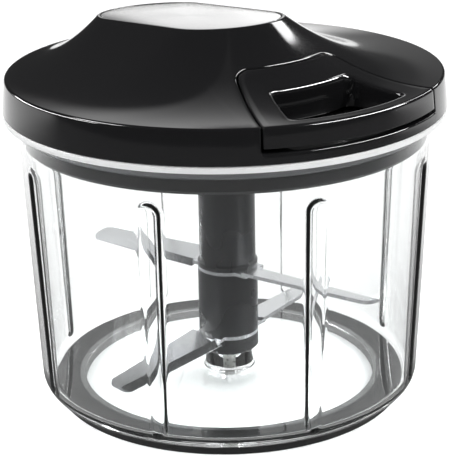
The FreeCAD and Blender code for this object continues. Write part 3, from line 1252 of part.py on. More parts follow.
finger_opening = sector("finger_opening", GRIP_INNER, GRIP_OUTER, GRIP_ANGLE, HANDLE_LOW + " - 1",
                        "%s - %s" % (LID_HIGH, HANDLE_LOW))
doc.recompute()
rounded(finger_opening, "opening_round", finger_opening.Tip, "grip_corner",
        upright_edge(GRIP_INNER + " - 1", GRIP_OUTER + " + 1"))
under_recess = sector("under_recess", COVER_INNER, COVER_OUTER, COVER_ANGLE, HANDLE_LOW + " - 1",
                      "cover_thickness + 1")
knot_room = sector("knot_room", KNOT_ROOM_INNER, KNOT_ROOM_OUTER, "knot_room_angle",
                   HANDLE_LOW, "cover_thickness + knot_room_height")
cord_hole = doc.addObject("Part::Cylinder", "cord_hole")
cord_hole.Placement = Placement(Vector(), Rotation(X_AXIS, 90))
cord_hole.setExpression("Radius", bind("cord_diameter / 2 + seat_gap"))
cord_hole.setExpression("Height", bind("%s - notch_radius + 1" % KNOT_ROOM_INNER))
cord_hole.setExpression("Placement.Base.y", bind("-notch_radius"))
cord_hole.setExpression("Placement.Base.z", bind(CORD_LEVEL))

GRIP_SCREW_Y = "-(%s + grip_screw_inset)" % COVER_INNER
GRIP_SCREWS = (("grip_screw_x", GRIP_SCREW_Y), ("-grip_screw_x", GRIP_SCREW_Y))
GRIP_HEAD_HEIGHT = "(cover_thickness * 0.6)"
grip_pilots = new_body("grip_pilots")
grip_pilot_plan = new_sketch(grip_pilots, "grip_pilot_plan", "XY_Plane", HANDLE_LOW)
circles(grip_pilot_plan, [(x, y, "grip_screw_radius + press_gap") for x, y in GRIP_SCREWS])
padded(grip_pilots, "grip_pilot_pad", grip_pilot_plan, "cover_thickness + grip_screw_length")
pull_handle = cut_out("pull_handle", handle_form,
                      [finger_opening, under_recess, knot_room, cord_hole, grip_pilots])

handle_cover_plate = sector("handle_cover_plate", COVER_INNER + " + plate_gap",
                            COVER_OUTER + " - plate_gap", COVER_ANGLE, HANDLE_LOW,
                            "cover_thickness", gap="plate_gap")
cover_holes = new_body("cover_holes")
cover_hole_plan = new_sketch(cover_holes, "cover_hole_plan", "XY_Plane", HANDLE_LOW + " - 1")
circles(cover_hole_plan, [(x, y, "grip_screw_radius + screw_gap") for x, y in GRIP_SCREWS])
padded(cover_holes, "cover_hole_pad", cover_hole_plan, "cover_thickness + 2")
cover_sinks = new_body("cover_sinks")
cover_sink_plan = new_sketch(cover_sinks, "cover_sink_plan", "XY_Plane", HANDLE_LOW + " - 1")
circles(cover_sink_plan, [(x, y, "grip_screw_radius * 2 + screw_gap") for x, y in GRIP_SCREWS])
padded(cover_sinks, "cover_sink_pad", cover_sink_plan, "1 + " + GRIP_HEAD_HEIGHT)
handle_cover = cut_out("handle_cover", handle_cover_plate, [cover_holes, cover_sinks])

handle_screws = screw("handle_screws", "grip_screw_radius", "grip_screw_length",
                      "grip_screw_radius * 2", GRIP_HEAD_HEIGHT,
                      "(%s + %s)" % (HANDLE_LOW, GRIP_HEAD_HEIGHT), GRIP_SCREWS)


NODES = (
    bowl, base_ring, spindle_pin,
    pin_bush, stem_foot, lower_blade, stem_lower, upper_blade, stem_upper,
    lid_shell, top_plate, lid_base, lid_seal, drive_bush, base_screws, reel_axle, axle_clip,
    cord_eyelet, pull_cord,
    drive_cup, reel, reel_cap, reel_bush, recoil_spring, pawl_pins,
    pawl_a, pawl_b,
    pull_handle, handle_cover, handle_screws, cord_lead, cord_knot, cord_washer,
)

doc.recompute()
for item in doc.Objects:
    if "Invalid" in item.State or "Error" in item.State:
        raise RuntimeError("%s failed: %s" % (item.Name, item.State))
for node in NODES:
    if node.Shape.isNull() or not node.Shape.isValid() or not node.Shape.Solids:
        raise RuntimeError("%s has no sound shape" % node.Label)

os.makedirs("parts", exist_ok=True)
for node in NODES:
    node.Shape.exportStep("parts/%s.step" % node.Label)
    box = node.Shape.BoundBox
    print("%-15s solids %d volume %9.1f  x %.1f..%.1f y %.1f..%.1f z %.1f..%.1f" % (
        node.Label, len(node.Shape.Solids), node.Shape.Volume,
        box.XMin, box.XMax, box.YMin, box.YMax, box.ZMin, box.ZMax))
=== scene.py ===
# %% [markdown]
# # A pull-string food chopper
# A clear bowl stands on a soft black ring. A glossy black lid closes it, and a handle let into the
# lid's rim pulls a cord off a reel, which spins two steel blades on a stem. The construction comes
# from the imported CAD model, which is loaded first and never changed. The pieces that the eye sees
# are modelled again here with rounded edges, and everything gets the finish of its real material.

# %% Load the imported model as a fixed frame
import math

import bmesh
import bpy
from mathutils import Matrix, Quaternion, Vector


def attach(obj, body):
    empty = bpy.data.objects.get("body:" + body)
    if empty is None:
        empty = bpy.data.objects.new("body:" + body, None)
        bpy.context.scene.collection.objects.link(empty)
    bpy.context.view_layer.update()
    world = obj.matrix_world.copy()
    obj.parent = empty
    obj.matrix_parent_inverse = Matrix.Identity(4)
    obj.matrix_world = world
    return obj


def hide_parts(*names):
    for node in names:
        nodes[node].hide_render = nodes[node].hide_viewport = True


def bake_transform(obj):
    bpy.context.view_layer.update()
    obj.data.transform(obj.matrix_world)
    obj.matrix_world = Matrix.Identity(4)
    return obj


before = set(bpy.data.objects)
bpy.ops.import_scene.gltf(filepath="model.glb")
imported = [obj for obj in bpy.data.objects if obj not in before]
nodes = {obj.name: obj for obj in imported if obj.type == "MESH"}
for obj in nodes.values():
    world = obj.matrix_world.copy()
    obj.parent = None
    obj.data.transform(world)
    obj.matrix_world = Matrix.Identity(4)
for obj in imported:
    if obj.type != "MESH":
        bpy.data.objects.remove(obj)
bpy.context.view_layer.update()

mm = 0.001

# %% [markdown]
# ## The camera
# The photograph looks down on the chopper from the front left, over the handle's left end. A long
# lens keeps the bowl's sides almost parallel. The camera is aimed with a track direction, and then
# rolled by about one degree, as the photograph is.

# %% Camera
CAMERA_PLACE = Vector((-0.3109, -0.4203, 0.2421))
CAMERA_AIM = Vector((0.0001, -0.0001, 0.05376))
CAMERA_ROLL = -0.01797


def aim_at(thing, target, roll):
    """Point a camera or a lamp at a place, and roll it by an angle in radians."""
    thing.rotation_mode = "QUATERNION"
    track = (target - thing.location).to_track_quat("-Z", "Y")
    thing.rotation_quaternion = track @ Quaternion((0, 0, 1), roll)


bpy.ops.object.camera_add(location=CAMERA_PLACE)
camera = bpy.context.object
camera.name = "camera"
camera.data.lens = 128.0
camera.data.sensor_width = 36.0
aim_at(camera, CAMERA_AIM, CAMERA_ROLL)
bpy.context.scene.camera = camera
print("camera distance %.3f m" % (CAMERA_AIM - CAMERA_PLACE).length)

# %% [markdown]
# ## Working in edit mode from a script
# Modelling by hand is a chain of selecting and acting. These helpers do the selecting: `take`
# makes one piece active, and `pick` selects vertices, edges or faces by a rule on their place.
# Lines are drawn as by hand too: a plane is merged to one vertex, which is then extruded along
# straight runs or spun along arcs. Places round the axis are given by a radius and an angle from
# the handle's side. The chopper's lengths are in millimetres, and two that differ by less than a
# hundredth count as the same. Where the piece has been pressed onto a form, the slack is wider.

# %% Selecting
SLACK, WIDE_SLACK = 0.01, 0.05


def near(value, target, slack=SLACK):
    return abs(value - target) < slack


def put_down():
    """Leave edit mode and deselect everything."""
    if bpy.context.object and bpy.context.object.mode == "EDIT":
        bpy.ops.object.mode_set(mode="OBJECT")
    bpy.ops.object.select_all(action="DESELECT")


def take(piece, edit=False):
    """Make one piece the active one, in edit mode where wanted."""
    put_down()
    bpy.context.view_layer.objects.active = piece
    piece.select_set(True)
    if edit:
        bpy.ops.object.mode_set(mode="EDIT")


def pick(kind, rule):
    """Select the vertices, edges or faces that a rule accepts."""
    bpy.ops.mesh.select_mode(type=kind)
    bpy.ops.mesh.select_all(action="DESELECT")
    data = bpy.context.object.data
    mesh = bmesh.from_edit_mesh(data)
    found = [item for item in {"VERT": mesh.verts, "EDGE": mesh.edges, "FACE": mesh.faces}[kind]
             if rule(item)]
    for item in found:
        item.select_set(True)
    mesh.select_flush_mode()
    bmesh.update_edit_mesh(data)
    return len(found)


def pick_points(rule):
    """Select the vertices at places that a rule accepts, in mm."""
    return pick("VERT", lambda vertex: rule(vertex.co / mm))


def pick_edges(rule, test=lambda edge: True):
    """Select the edges that pass a test, with both ends at places that a rule accepts, in mm."""
    return pick("EDGE", lambda edge: all(rule(end.co / mm) for end in edge.verts) and test(edge))


# %% Drawing
WELD_REACH = 0.002


def polar(radius, angle, height=0.0):
    """A place by its distance from the axis and its angle from the handle's side (-Y), in mm."""
    turn = math.radians(angle)
    return Vector((radius * math.sin(turn), -radius * math.cos(turn), height))


def start_line(place):
    """One new vertex, in edit mode: the start of a drawn line."""
    bpy.ops.mesh.select_mode(type="VERT")
    bpy.ops.mesh.select_all(action="DESELECT")
    bpy.ops.mesh.primitive_plane_add(size=1, location=(0, 0, 0))
    bpy.ops.mesh.merge(type="CENTER")
    bpy.ops.transform.translate(value=Vector(place) * mm)


def blank(name):
    """A new piece with an empty mesh, in edit mode. Its object stays at the origin."""
    put_down()
    bpy.ops.mesh.primitive_plane_add(size=1, location=(0, 0, 0), enter_editmode=True)
    piece = bpy.context.object
    piece.name = piece.data.name = name
    select_all()
    bpy.ops.mesh.delete(type="VERT")
    return piece


def new_drawing(name, place):
    """A new piece with one vertex at a place."""
    piece = blank(name)
    start_line(place)
    return piece


def extrude(step):
    """Extrude the selection by a step in mm."""
    bpy.ops.mesh.extrude_region_move(TRANSFORM_OT_translate={"value": Vector(step) * mm})


def line(to, parts=1):
    """Extrude the last vertex to a place, in even parts."""
    mesh = bmesh.from_edit_mesh(bpy.context.object.data)
    here = next(vertex.co.copy() for vertex in mesh.verts if vertex.select)
    step = (Vector(to) * mm - here) / parts
    for _ in range(parts):
        bpy.ops.mesh.extrude_region_move(TRANSFORM_OT_translate={"value": step})


def arc(centre, degrees, parts):
    """Spin the selection round a centre; positive turns anticlockwise seen from above."""
    bpy.ops.mesh.spin(steps=parts, angle=-math.radians(degrees), center=Vector(centre) * mm,
                      axis=(0, 0, 1))


def select_all():
    bpy.ops.mesh.select_all(action="SELECT")


def bridge(cuts=0):
    """Join the selected outlines with faces, in even rows."""
    bpy.ops.mesh.bridge_edge_loops(number_cuts=cuts, interpolation="LINEAR")


def weld():
    """Merge the vertices that lie in one place."""
    select_all()
    bpy.ops.mesh.remove_doubles(threshold=WELD_REACH * mm)


def face_out():
    select_all()
    bpy.ops.mesh.normals_make_consistent(inside=False)


def bevel(width, segments=4):
    """Round the selected edges."""
    bpy.ops.mesh.bevel(offset=width * mm, offset_type="OFFSET", segments=segments,
                       affect="EDGES", clamp_overlap=True)


def rotate(degrees, axis, centre=(0, 0, 0)):
    """Turn the selection. With no window the operator turns the other way, hence the minus."""
    bpy.ops.transform.rotate(value=-math.radians(degrees), orient_axis=axis,
                             center_override=Vector(centre) * mm)


def apply(piece, kind, **settings):
    """Add a modifier with its settings and apply it."""
    take(piece)
    modifier = piece.modifiers.new(kind.lower(), kind)
    for name, value in settings.items():
        setattr(modifier, name, value)
    bpy.ops.object.modifier_apply(modifier=modifier.name)


def finish_piece(piece, smooth_angle):
    """Shade the piece smooth up to an angle and say how large its mesh is."""
    take(piece)
    bpy.ops.object.shade_smooth_by_angle(angle=math.radians(smooth_angle))
    print("%s: %d faces" % (piece.name, len(piece.data.polygons)))
    put_down()


def discard(*pieces):
    for piece in pieces:
        bpy.data.objects.remove(piece)


# %% Turning
ROUND_FACES_PER_MM, FEWEST_ROUND_FACES = 2.5, 3


def turned(name, corners, strides, start_angle):
    """Draw half a section from (radius, height, rounding) corners, and spin it round the axis."""
    points = [Vector((corner[0], 0, corner[1])) for corner in corners]
    piece = new_drawing(name, points[0])
    for point in points[1:]:
        line(point)
    for number, corner in enumerate(corners):
        if len(corner) > 2:
            into = points[number] - points[number - 1]
            out = points[number + 1] - points[number]
            set_back = corner[2] * math.tan(into.angle(out) / 2)
            pick_points(lambda place: (place - points[number]).length < SLACK)
            bpy.ops.mesh.bevel(offset=set_back * mm, offset_type="OFFSET", affect="VERTICES",
                               segments=max(FEWEST_ROUND_FACES,
                                              round(corner[2] * ROUND_FACES_PER_MM)))
    select_all()
    rotate(start_angle, "Z")
    for degrees, steps in strides:
        arc((0, 0, 0), degrees, steps)
    weld()
    face_out()
    put_down()
    return piece

# %% [markdown]
# ## Materials
# Each material is named for what the real part is made of and how its surface was made. Colours
# are written as sRGB hex values and turned to linear light by one function. One small function
# adds a node: a setting is set on it, and an input takes a number, a colour, another node's output,
# or a node, which stands for its first output. Patterns read the piece's own coordinates, so they
# stay with it when it moves.

# %% Colours and nodes
def linear(hex_colour):
    """An sRGB hex colour as linear RGBA."""
    channels = [int(hex_colour[start:start + 2], 16) / 255 for start in (1, 3, 5)]
    return tuple(c / 12.92 if c <= 0.04045 else ((c + 0.055) / 1.055) ** 2.4
                 for c in channels) + (1.0,)


def add(tree, kind, inputs=None, **settings):
    """Add a node: its settings, and its inputs as values, outputs or nodes."""
    made = tree.nodes.new("ShaderNode" + kind)
    for name, value in settings.items():
        setattr(made, name, value)
    for name, value in (inputs or {}).items():
        if isinstance(value, bpy.types.Node):
            value = value.outputs[0]
        if isinstance(value, bpy.types.NodeSocket):
            tree.links.new(value, made.inputs[name])
        else:
            made.inputs[name].default_value = value
    return made


def new_material(name):
    """A material with an empty tree, and the piece's own coordinates in it."""
    material = bpy.data.materials.new(name)
    material.use_nodes = True
    tree = material.node_tree
    tree.nodes.clear()
    return material, tree, add(tree, "TexCoord").outputs["Object"]


def give_out(tree, shader):
    add(tree, "OutputMaterial", {"Surface": shader})


def size_of(pattern):
    """Noise scale for grains of a size in mm."""
    return 1 / (pattern * mm)


# %% [markdown]
# Glossy black ABS: the lid and the handle come out of a polished mould, so they mirror the room
# sharply. The only texture is a very shallow waviness from the moulding, which keeps the mirror
# image from looking like glass. The same function makes the other moulded plastics and rubbers,
# each with the grain and the gloss of its own mould.

# %% Moulded plastics and rubbers
PLASTIC_IOR, CLOUD_SIZE = 1.53, 18


def moulded(name, colour, roughness, spread, grain, depth):
    """One colour, a gloss that spreads a little about its roughness, and a grain; sizes in mm."""
    material, tree, place = new_material(name)
    grains = add(tree, "TexNoise", {"Vector": place, "Scale": size_of(grain), "Detail": 3.0})
    relief = add(tree, "Bump", {"Height": grains, "Distance": depth * mm})
    clouds = add(tree, "TexNoise", {"Vector": place, "Scale": size_of(CLOUD_SIZE), "Detail": 2.0})
    gloss = add(tree, "MapRange", {"Value": clouds, "From Min": 0.3, "From Max": 0.7,
                                   "To Min": roughness - spread, "To Max": roughness + spread})
    shader = add(tree, "BsdfPrincipled", {"Base Color": linear(colour), "IOR": PLASTIC_IOR,
                                          "Roughness": gloss, "Normal": relief})
    give_out(tree, shader)
    return material


gloss_black_abs = moulded("polished_black_abs", "#151516", roughness=0.09, spread=0.02,
                          grain=9.0, depth=0.004)
textured_black_abs = moulded("spark_textured_black_abs", "#161617", roughness=0.4, spread=0.05,
                             grain=0.35, depth=0.02)
satin_black_pp = moulded("satin_black_polypropylene", "#17181a", roughness=0.28, spread=0.04,
                         grain=0.6, depth=0.008)
black_tpe = moulded("matt_black_thermoplastic_rubber", "#1a1a1a", roughness=0.62, spread=0.06,
                    grain=0.5, depth=0.02)
grey_silicone = moulded("grey_silicone_rubber", "#6f6f71", roughness=0.5, spread=0.05,
                        grain=0.8, depth=0.01)
natural_acetal = moulded("natural_white_acetal", "#ebe9e2", roughness=0.3, spread=0.04,
                         grain=0.7, depth=0.008)

# %% [markdown]
# Clear styrene-acrylonitrile: the bowl is a polished clear moulding with an index of about 1.57.
# Light that casts shadows passes straight through it, as it nearly does through thin clear
# plastic, so what stands inside the bowl isn't dark. The rim flange is frosted in the mould: it
# scatters nearly all its light, so it stands out as a white band under the lid.

# %% Clear SAN
WAVE_SIZE, WAVE_DEPTH, CLEAR_IOR = 25, 0.02, 1.57


def clear_moulding(name, tint, roughness, transmission):
    material, tree, place = new_material(name)
    waves = add(tree, "TexNoise", {"Vector": place, "Scale": size_of(WAVE_SIZE), "Detail": 1.0})
    relief = add(tree, "Bump", {"Height": waves, "Distance": WAVE_DEPTH * mm})
    clear = add(tree, "BsdfPrincipled", {"Base Color": linear(tint), "IOR": CLEAR_IOR,
                                         "Roughness": roughness, "Normal": relief,
                                         "Transmission Weight": transmission})
    gap = add(tree, "BsdfTransparent", {"Color": linear("#f2f4f4")})
    rays = add(tree, "LightPath")
    give_out(tree, add(tree, "MixShader", {0: rays.outputs["Is Shadow Ray"], 1: clear, 2: gap}))
    return material


clear_san = clear_moulding("polished_clear_san", "#fcfdfd", roughness=0.01, transmission=1.0)
frosted_san = clear_moulding("frosted_clear_san", "#fdfefe", roughness=0.4, transmission=0.1)

# %% [markdown]
# Steel: brushed, ground, zinc-plated and blued. Brushing and grinding leave fine lines in one
# direction: a noise that is squeezed across the lines. Zinc plating leaves a faint mottle, nearly
# as long as it is wide. The lines are drawn 0.25 mm apart or more, a few times coarser than real
# ones, so that they show in a picture of the whole object.

# %% Steel
GLOSS_SPREAD, SHADE_SPREAD = 0.07, 0.1


def lined_steel(name, colour, roughness, line_gap, line_length, along, depth, anisotropy=0.0):
    """Steel with fine lines along one axis; the gap and length of the lines are in mm."""
    material, tree, place = new_material(name)
    stretch = [size_of(line_gap)] * 3
    stretch["XYZ".index(along)] = size_of(line_length)
    drawn = add(tree, "Mapping", {"Vector": place, "Scale": stretch})
    lines = add(tree, "TexNoise", {"Vector": drawn, "Scale": 1.0, "Detail": 2.0})
    relief = add(tree, "Bump", {"Height": lines, "Distance": depth * mm})
    gloss = add(tree, "MapRange", {"Value": lines, "From Min": 0.25, "From Max": 0.75,
                                   "To Min": roughness - GLOSS_SPREAD,
                                   "To Max": roughness + GLOSS_SPREAD})
    shade = add(tree, "ValToRGB", {"Fac": lines})
    for element, factor in zip(shade.color_ramp.elements, (1 - SHADE_SPREAD, 1 + SHADE_SPREAD)):
        element.color = [min(channel * factor, 1) for channel in linear(colour)[:3]] + [1]
    shader = add(tree, "BsdfPrincipled", {"Base Color": shade, "Metallic": 1.0, "Roughness": gloss,
                                          "Anisotropic": anisotropy, "Normal": relief})
    give_out(tree, shader)
    return material


brushed_steel = lined_steel("brushed_stainless_steel", "#eeeeee", roughness=0.21, line_gap=0.25,
                            line_length=14, along="Y", depth=0.002, anisotropy=0.5)
ground_steel = lined_steel("ground_blade_steel", "#dcdddf", roughness=0.22, line_gap=0.3,
                           line_length=6, along="Z", depth=0.003)
zinc_steel = lined_steel("zinc_plated_steel", "#c2c2be", roughness=0.3, line_gap=0.6,
                         line_length=0.9, along="Z", depth=0.003)
blued_steel = lined_steel("blued_spring_steel", "#566079", roughness=0.25, line_gap=0.5,
                          line_length=5, along="X", depth=0.002)

# %% [markdown]
# Braided polyester: the cord's yarns cross in two directions round it. The braid is drawn from the
# angle round the cord and the distance along it, at 1.2 mm a stitch. The grooves between the yarns
# are painted a darker grey, which is painted shade. It is true to the straight part between lid and
# handle. On the drum and in the knot it is a fine speckle that nobody sees.

# %% Braided cord
STITCH, YARNS, BRAID_DEPTH, CORD_LEVEL = 1.2, 4.0, 0.06, 108.6


def braided_cord(name, colour, groove_shade_colour, axis_height):
    """Crossing yarns round a cord that runs along Y at a height in mm."""
    material, tree, place = new_material(name)
    split = add(tree, "SeparateXYZ", {"Vector": place})
    rise = add(tree, "Math", {0: split.outputs["Z"], 1: axis_height * mm}, operation="SUBTRACT")
    angle = add(tree, "Math", {0: split.outputs["X"], 1: rise}, operation="ARCTAN2")
    yarns = []
    for direction in (1, -1):
        run = add(tree, "Math", {0: split.outputs["Y"],
                                 1: direction * 2 * math.pi / (STITCH * mm)}, operation="MULTIPLY")
        winding = add(tree, "Math", {0: angle, 1: YARNS, 2: run}, operation="MULTIPLY_ADD")
        yarns.append(add(tree, "Math", {0: winding}, operation="SINE"))
    braid = add(tree, "Math", {0: yarns[0], 1: yarns[1]}, operation="MAXIMUM")
    relief = add(tree, "Bump", {"Height": braid, "Distance": BRAID_DEPTH * mm})
    # The ramp paints the grooves between the yarns darker grey: painted shade, not the yarn's own
    # colour.
    shade = add(tree, "ValToRGB", {"Fac": braid})
    for element, tone in zip(shade.color_ramp.elements, (groove_shade_colour, colour)):
        element.color = linear(tone)
    shader = add(tree, "BsdfPrincipled", {"Base Color": shade, "Roughness": 0.75,
                                          "Sheen Weight": 0.3, "Normal": relief})
    give_out(tree, shader)
    return material


white_braid = braided_cord("braided_white_polyester", "#ecebe6", "#9a9994", CORD_LEVEL)


def dress(piece, material):
    piece.data.materials.clear()
    piece.data.materials.append(material)


def place_piece(piece, body, slot, *replaced):
    """A finished piece rides on its body and stands for its CAD nodes, which are hidden; the slot is
    not used.
    """
    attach(piece, body)
    if replaced:
        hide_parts(*replaced)

# %% [markdown]
# ## The CAD nodes that stay
# The parts inside the lid, on the stem and under the bowl are right as the CAD has them, down to
# their bores and screw wells. They keep their meshes and get the finish of their real material.

# %% Dress the CAD nodes
FINISHES = {
    textured_black_abs: ("lid_base", "handle_cover"),
    satin_black_pp: ("stem_foot", "stem_lower", "stem_upper"),
    black_tpe: ("base_ring",),
    grey_silicone: ("lid_seal",),
    natural_acetal: ("pin_bush", "drive_bush", "drive_cup", "reel", "reel_cap", "reel_bush",
                     "pawl_a", "pawl_b"),
    ground_steel: ("lower_blade", "upper_blade"),
    zinc_steel: ("spindle_pin", "base_screws", "reel_axle", "axle_clip", "cord_eyelet",
                 "pawl_pins", "handle_screws", "cord_washer"),
    blued_steel: ("recoil_spring",),
}
for material, names in FINISHES.items():
    for name in names:
        for held in nodes[name].material_slots:
            held.material = material
print("dressed", sum(len(names) for names in FINISHES.values()), "CAD nodes")

# %% [markdown]
# ## The bowl
# The real bowl is one clear moulding: a wall that leans out a little, a rim flange that the lid
# rests on, a boss for the blade's pin, and eight upright flutes that stiffen it. It could be cut
# from a solid with booleans, but glass-clear walls show every uneven triangle. So half a section
# is drawn and spun in strides, with narrow columns where a flute comes. The flutes are slender
# cones with round ends: the outer wall is pressed in on them and the inner wall on wider ones.

# %% Bowl: the section and its spin
FOOT_LEVEL, FLOOR_LEVEL, RIM_LOW, BOWL_TOP = 3.1, 5.7, 97.0, 99.3
FOOT_RADIUS, TOP_RADIUS, RIM_RADIUS, WALL = 64.35, 68.35, 72.6, 2.4
FOOT_ROUND, FLOOR_ROUND, TOP_ROUND, SMALL_ROUND = 4.4, 3.0, 0.6, 0.5
GROOVE_INNER, GROOVE_OUTER, GROOVE_TOP = 49.98, 52.02, 4.12
BOSS_FOOT, BOSS_RADIUS, BOSS_TOP = 8.5, 7.5, 12.0
PIN_BORE, PIN_SEAT = 2.52, 4.6
FLUTES, FLUTE_TURN, DENSE_HALF, COLUMNS = 8, 32.8, 4.2, 24
# Rows of faces up the wall: where a run starts, how far apart its rows are, and how many.
ROW_RUNS = ((8.0, 0.5, 9), (12.5, 3.1, 21), (75.0, 0.5, 25))
INNER_ROWS_FROM = 9.2


def wall_radius(height):
    return FOOT_RADIUS + (TOP_RADIUS - FOOT_RADIUS) * (height - FOOT_LEVEL) / (RIM_LOW - FOOT_LEVEL)


rows = [start + gap * step for start, gap, count in ROW_RUNS for step in range(count)]
outside = [(wall_radius(height), height) for height in rows]
inside = [(wall_radius(height) - WALL, height) for height in reversed(rows)
          if height > INNER_ROWS_FROM]
bowl_section = (
    [(0, FOOT_LEVEL), (GROOVE_INNER, FOOT_LEVEL), (GROOVE_INNER, GROOVE_TOP),
     (GROOVE_OUTER, GROOVE_TOP), (GROOVE_OUTER, FOOT_LEVEL), (FOOT_RADIUS, FOOT_LEVEL, FOOT_ROUND)]
    + outside
    + [(TOP_RADIUS, RIM_LOW, SMALL_ROUND), (RIM_RADIUS, RIM_LOW, SMALL_ROUND),
       (RIM_RADIUS, BOWL_TOP, TOP_ROUND), (TOP_RADIUS - WALL, BOWL_TOP, SMALL_ROUND),
       (TOP_RADIUS - WALL, RIM_LOW)] + inside
    + [(wall_radius(FLOOR_LEVEL) - WALL, FLOOR_LEVEL, FLOOR_ROUND),
       (BOSS_FOOT, FLOOR_LEVEL, TOP_ROUND), (BOSS_RADIUS, BOSS_TOP, TOP_ROUND),
       (PIN_BORE, BOSS_TOP), (PIN_BORE, PIN_SEAT), (0, PIN_SEAT)])
bowl_strides = ((360 / FLUTES - 2 * DENSE_HALF, COLUMNS), (2 * DENSE_HALF, COLUMNS)) * FLUTES
clear_bowl = turned("clear_bowl", bowl_section, bowl_strides, FLUTE_TURN + DENSE_HALF)
print("bowl: %d vertices before the flutes" % len(clear_bowl.data.vertices))

# %% Bowl: the flutes' forms
# The balls at a flute's two ends: radius, distance from the axis and height.
FLUTE_ENDS = ((2.5, 66.084, 8.6), (3.41, 69.382, 81.1))


def flute_form(name, extra):
    """Slender cones with round ends, one for each flute: two balls and their hull."""
    form = blank(name)
    for radius, distance, height in FLUTE_ENDS:
        bpy.ops.mesh.primitive_uv_sphere_add(
            segments=96, ring_count=48, radius=(radius + extra) * mm,
            location=(distance * mm, 0, height * mm))
    select_all()
    bpy.ops.mesh.convex_hull(delete_unused=True, use_existing_faces=False, join_triangles=False)
    select_all()
    rotate(FLUTE_TURN, "Z")
    bpy.ops.mesh.spin(steps=FLUTES - 1, angle=-math.radians(360 - 360 / FLUTES), dupli=True,
                      center=(0, 0, 0), axis=(0, 0, 1))
    put_down()
    return form


grooves = flute_form("flute_grooves", 0)
ribs = flute_form("flute_ribs", WALL)
print("flute forms: %d faces each" % len(grooves.data.polygons))

# %% Bowl: the flutes pressed in
# The walls' heights that may be pressed, and a radius outside the bowl's boss.
OUTER_FROM, INNER_FROM, WALLS_TO, PAST_BOSS = 4.5, 5.5, 92, 50
PRESS_LIMIT, FLANGE_SLACK = 2.3, 0.3


def press(piece, form, group_name, rule, outward):
    """Push the vertices that a rule accepts along their normals onto a form."""
    group = piece.vertex_groups.new(name=group_name)
    group.add([vertex.index for vertex in piece.data.vertices if rule(vertex.co / mm)], 1.0,
              "REPLACE")
    apply(piece, "SHRINKWRAP", target=form, wrap_method="PROJECT", vertex_group=group_name,
          use_negative_direction=not outward, use_positive_direction=outward,
          project_limit=PRESS_LIMIT * mm)
    bpy.ops.object.vertex_group_remove(all=True)


def outer_wall(place):
    return OUTER_FROM < place.z < WALLS_TO and place.xy.length > wall_radius(place.z) - WALL / 2


def inner_wall(place):
    return (INNER_FROM < place.z < WALLS_TO
            and PAST_BOSS < place.xy.length < wall_radius(place.z) - WALL / 2)


def on_flange(face):
    middle = face.calc_center_median() / mm
    return middle.xy.length > TOP_RADIUS + FLANGE_SLACK and middle.z > RIM_LOW - FLANGE_SLACK


press(clear_bowl, grooves, "grooves", outer_wall, outward=False)
press(clear_bowl, ribs, "ribs", inner_wall, outward=True)
discard(grooves, ribs)
take(clear_bowl, edit=True)
pick_points(lambda place: outer_wall(place) or inner_wall(place))
bpy.ops.mesh.vertices_smooth(factor=0.5, repeat=2)
dress(clear_bowl, clear_san)
clear_bowl.data.materials.append(frosted_san)
print("flange:", pick("FACE", on_flange), "faces")
clear_bowl.active_material_index = 1
bpy.ops.object.material_slot_assign()
finish_piece(clear_bowl, smooth_angle=50)
place_piece(clear_bowl, "bowl", "clear_plastic", "bowl")

# %% [markdown]
# ## The lid's form
# The lid rises from its round rim to a long flat grip, in hollow flanks. Its outside runs through
# sections that change from a circle to a slot, each a little higher and more tilted. This form is
# only a pattern: the lid and the handle are both pressed onto it, so that the handle carries on
# the lid's surface. The sections are circles whose halves are moved apart and bridged in pairs.

# %% The lid's form
LID_RADIUS, RIM_LEVEL = 71.7, 110.4
GRIP_RADIUS, GRIP_HALF, GRIP_BACK, GRIP_RISE, GRIP_SLOPE = 19.7, 20.2, 19.6, 16.1, 0.091
FLANK_POWER, FLANK_CROWN, RIM_HALF = 2.43, 0.5, 0.6
ROUND_STEPS, SECTIONS = 256, 26


def grip_level(share):
    """The height of a section. The power hollows the flanks, and the crown lifts them a little."""
    return (RIM_LEVEL + GRIP_RISE * max(share, 0) ** FLANK_POWER
            + FLANK_CROWN * share * (1 - share))


def lid_section(share):
    """One section of the lid: a circle whose halves are moved apart, rising to the handle's side."""
    radius = LID_RADIUS * (1 - share) + GRIP_RADIUS * share
    half = RIM_HALF * (1 - share) + GRIP_HALF * share
    centre = Vector((0, GRIP_BACK * share, grip_level(share)))
    data = bpy.context.object.data
    first = len(bmesh.from_edit_mesh(data).verts)
    bpy.ops.mesh.primitive_circle_add(vertices=ROUND_STEPS, radius=radius * mm,
                                      location=centre * mm)
    for side in (1, -1):
        pick("VERT", lambda vertex: vertex.index >= first
             and side * (vertex.co.y / mm - centre.y) > SLACK)
        bpy.ops.transform.translate(value=(0, side * half * mm, 0))
    pick("VERT", lambda vertex: vertex.index >= first)
    slope = math.degrees(math.atan(GRIP_SLOPE * max(share, 0) ** FLANK_POWER))
    rotate(-slope, "X", (0, 0, centre.z))
    return first


lid_form = blank("lid_form")
# One section more at either end, so that the form reaches past the rim and the grip's edge.
starts = [lid_section(step / SECTIONS) for step in range(-1, SECTIONS + 2)]
for start in starts[1:]:
    pick("VERT", lambda vertex: start - ROUND_STEPS <= vertex.index < start + ROUND_STEPS)
    bridge()
put_down()
apply(lid_form, "SUBSURF", levels=2, render_levels=2)
print("lid form: %d faces" % len(lid_form.data.polygons))

# %% [markdown]
# ## The lid
# The lid's top is bridged between two drawn outlines with the same number of vertices: the edge of
# the grip's flat top, and the rim with the handle's notch in it. It is then pressed down onto the
# form. Drawing the notch into the outline keeps its edges clean, so that they can be rounded, and
# those roundings catch the thin white lines of light in the photograph. A strip of narrow faces runs
# along the rim and the notch, so that the shading follows them. The notch's walls and the skirt
# are extruded from the outline, the ledge under the handle is bridged, and Solidify gives the
# shell its 2 mm wall. The recess for the steel plate is a little wider than the plate, and the gap
# draws the fine dark line round it.

